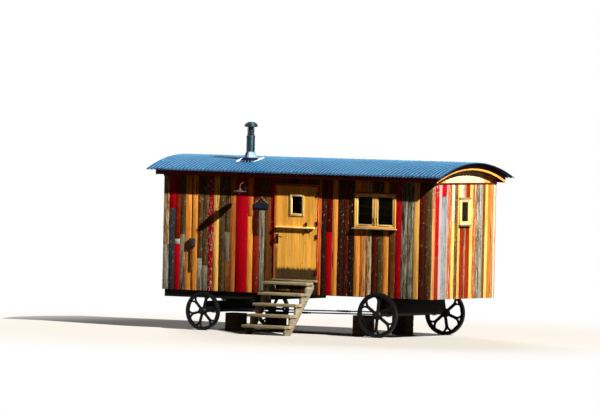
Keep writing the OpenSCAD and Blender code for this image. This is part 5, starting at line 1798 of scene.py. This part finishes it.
def bar_between(first, second, y0, y1, half):
    """A thin raised bar on a wheel's face, between two points given as (x, z)."""
    (xa, za), (xb, zb) = first, second
    bar = blocks([((0, y0, -half), (math.hypot(xb - xa, zb - za), y1, half))], 0.0025, 1)
    turn = Matrix.Rotation(-math.atan2(zb - za, xb - xa), 4, "Y")
    return laid(bar, Matrix.Translation((xa, 0, za)) @ turn)


def wheel_dress(node, turn):
    """The ribs, lips, hub steps and bolts of one wheel, all round its own axis."""
    low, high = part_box(node)
    centre, radius, hub = (low + high) / 2, (high.x - low.x) / 2, (high.y - low.y) / 2
    lip = [(radius * RIM_SHARE, 0), (radius * (RIM_SHARE + 0.02), 0.006), (radius - 0.004, 0.006),
           (radius - 0.0005, 0.001), (radius - 0.002, -0.004)]
    boss = [(radius * 0.21, WEB - 0.004), (radius * 0.205, WEB + 0.010),
            (radius * 0.165, WEB + 0.014), (radius * 0.16, hub - 0.016),
            (radius * 0.14, hub - 0.008), (0.026, hub - 0.001)]

    def spot(share, angle):
        return (centre.x + radius * share * math.cos(angle),
                centre.z + radius * share * math.sin(angle))

    parts = []
    for side in SIDES:
        parts.append(spun([(r, RIM_HALF + h - 0.005) for r, h in lip], centre, (0, side, 0), 96))
        parts.append(spun(boss, centre, (0, side, 0), 48))
        y0, y1 = sorted((centre.y + side * (WEB - 0.003), centre.y + side * (WEB + 0.010)))
        for k in range(SPOKES):
            degrees = turn + 360 / SPOKES * k
            angle, bolt = math.radians(degrees), math.radians(degrees + 180 / SPOKES)
            fork = spot(FORK_SHARE, angle)
            parts.append(bar_between(spot(RIB_SHARE, angle), fork, y0, y1, 0.007))
            for s in SIDES:
                end = spot(RIM_SHARE, angle + s * FORK_ANGLE)
                parts.append(bar_between(fork, end, y0, y1, 0.006))
            x, z = spot(BOLT_SHARE, bolt)
            parts.append(rod((x, centre.y + side * (WEB + 0.008), z),
                             (x, centre.y + side * (WEB + 0.020), z), 0.008, 6, 0.001))
    return joined(parts)


for node, (body, turn) in WHEELS.items():
    casting = eased_copy(node, 0.0035)
    finished(joined([casting, wheel_dress(node, turn)]), node + "_casting", CAST_IRON, node, body)

# %% [markdown]
# The steps are five thick treads on two boards cut to their shape. Each tread is two planks with a
# rounded nose, and four screws hold each plank.

# %% Build the steps
TREADS, TREAD_DEEP, TREAD_THICK, RISE_STEP, GOING = 5, 0.240, 0.052, 0.188, 0.176
TREAD_PLANKS, UNEVEN, SCREW_IN = ((0.002, 0.119), (0.123, TREAD_DEEP)), 0.003, 0.055
TREAD_SCREW = [(0, 0.001), (0.003, 0.0012), (0.005, 0.0002), (0.005, -0.002)]
steps_low, steps_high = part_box("step_treads")
planks, spots = [], []
for k in range(TREADS):
    back_edge, top = steps_high.y - k * GOING, steps_high.z - k * RISE_STEP
    for near, far in TREAD_PLANKS:
        left_x = steps_low.x + random.uniform(0, UNEVEN)
        right_x = steps_high.x - random.uniform(0, UNEVEN)
        planks.append(((left_x, back_edge - far, top - TREAD_THICK),
                       (right_x, back_edge - near, top)))
        spots += [Vector((x, back_edge - (near + far) / 2 + dy, top - 0.0005))
                  for x in (steps_low.x + SCREW_IN, steps_high.x - SCREW_IN)
                  for dy in (-0.03, 0.03)]
finished(blocks(planks, 0.007, 3), "tread_planks", STEP_TIMBER, "step_treads")
refined("step_stringers", "cut_stringers", STRINGER_TIMBER, 0.004)
tread_screws = repeated(spun(TREAD_SCREW, (0, 0, 0), steps=12), spots)
finished(tread_screws, "tread_screws", DARK_STEEL, slot="black_iron")

# %% [markdown]
# The hut is kept off its wheels by four stacks of short blocks, laid crosswise in three rows of two.
# Each block is a little longer or shorter than the next.

# %% Stack the blocks
STACK, SLEEPER_ROWS, STACK_UNEVEN, STACK_GAP = 0.290, 3, 0.006, 0.002
FIRST_HIGH, SECOND_HIGH = 0.315, 0.365
stack_low, stack_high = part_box("block_stacks")
sleepers = []
for x, high in ((stack_low.x, FIRST_HIGH), (stack_high.x - STACK, SECOND_HIGH)):
    for y in (stack_low.y, stack_high.y - STACK):
        row = high / SLEEPER_ROWS
        for k in range(SLEEPER_ROWS):
            z0, z1 = k * row, (k + 1) * row - 0.001
            for half in range(2):
                a, b = half * STACK / 2 + STACK_GAP, (half + 1) * STACK / 2 - STACK_GAP
                nudge = random.uniform(0, STACK_UNEVEN)
                if k % 2:
                    sleepers.append(((x + a, y + nudge, z0), (x + b, y + STACK - nudge, z1)))
                else:
                    sleepers.append(((x + nudge, y + a, z0), (x + STACK - nudge, y + b, z1)))
finished(blocks(sleepers, 0.006), "block_sleepers", BLOCK_TIMBER, "block_stacks")

# %% [markdown]
# Last come the bolts that hold the frame together, with heads that catch the light along the beams.

# %% Bolt the beams
BOLT_PAIRS, BOLT_IN, BOLT_APART = 7, 0.045, (-0.03, 0.03)
beam_low, beam_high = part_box("subframe_beams")
first_x, beam_z = beam_low.x + BOLT_IN, (beam_low.z + beam_high.z) / 2
bolted = beam_high.x - beam_low.x - 2 * BOLT_IN
for name, y, out in (("front_beam_bolts", beam_low.y, -1), ("back_beam_bolts", beam_high.y, 1)):
    spots = [Vector((first_x + bolted * k / (BOLT_PAIRS - 1), y, beam_z + dz))
             for k in range(BOLT_PAIRS) for dz in BOLT_APART]
    finished(hexagon_bolts(spots, 0.009, 0.007, (0, out, 0)), name, BLACK_IRON)
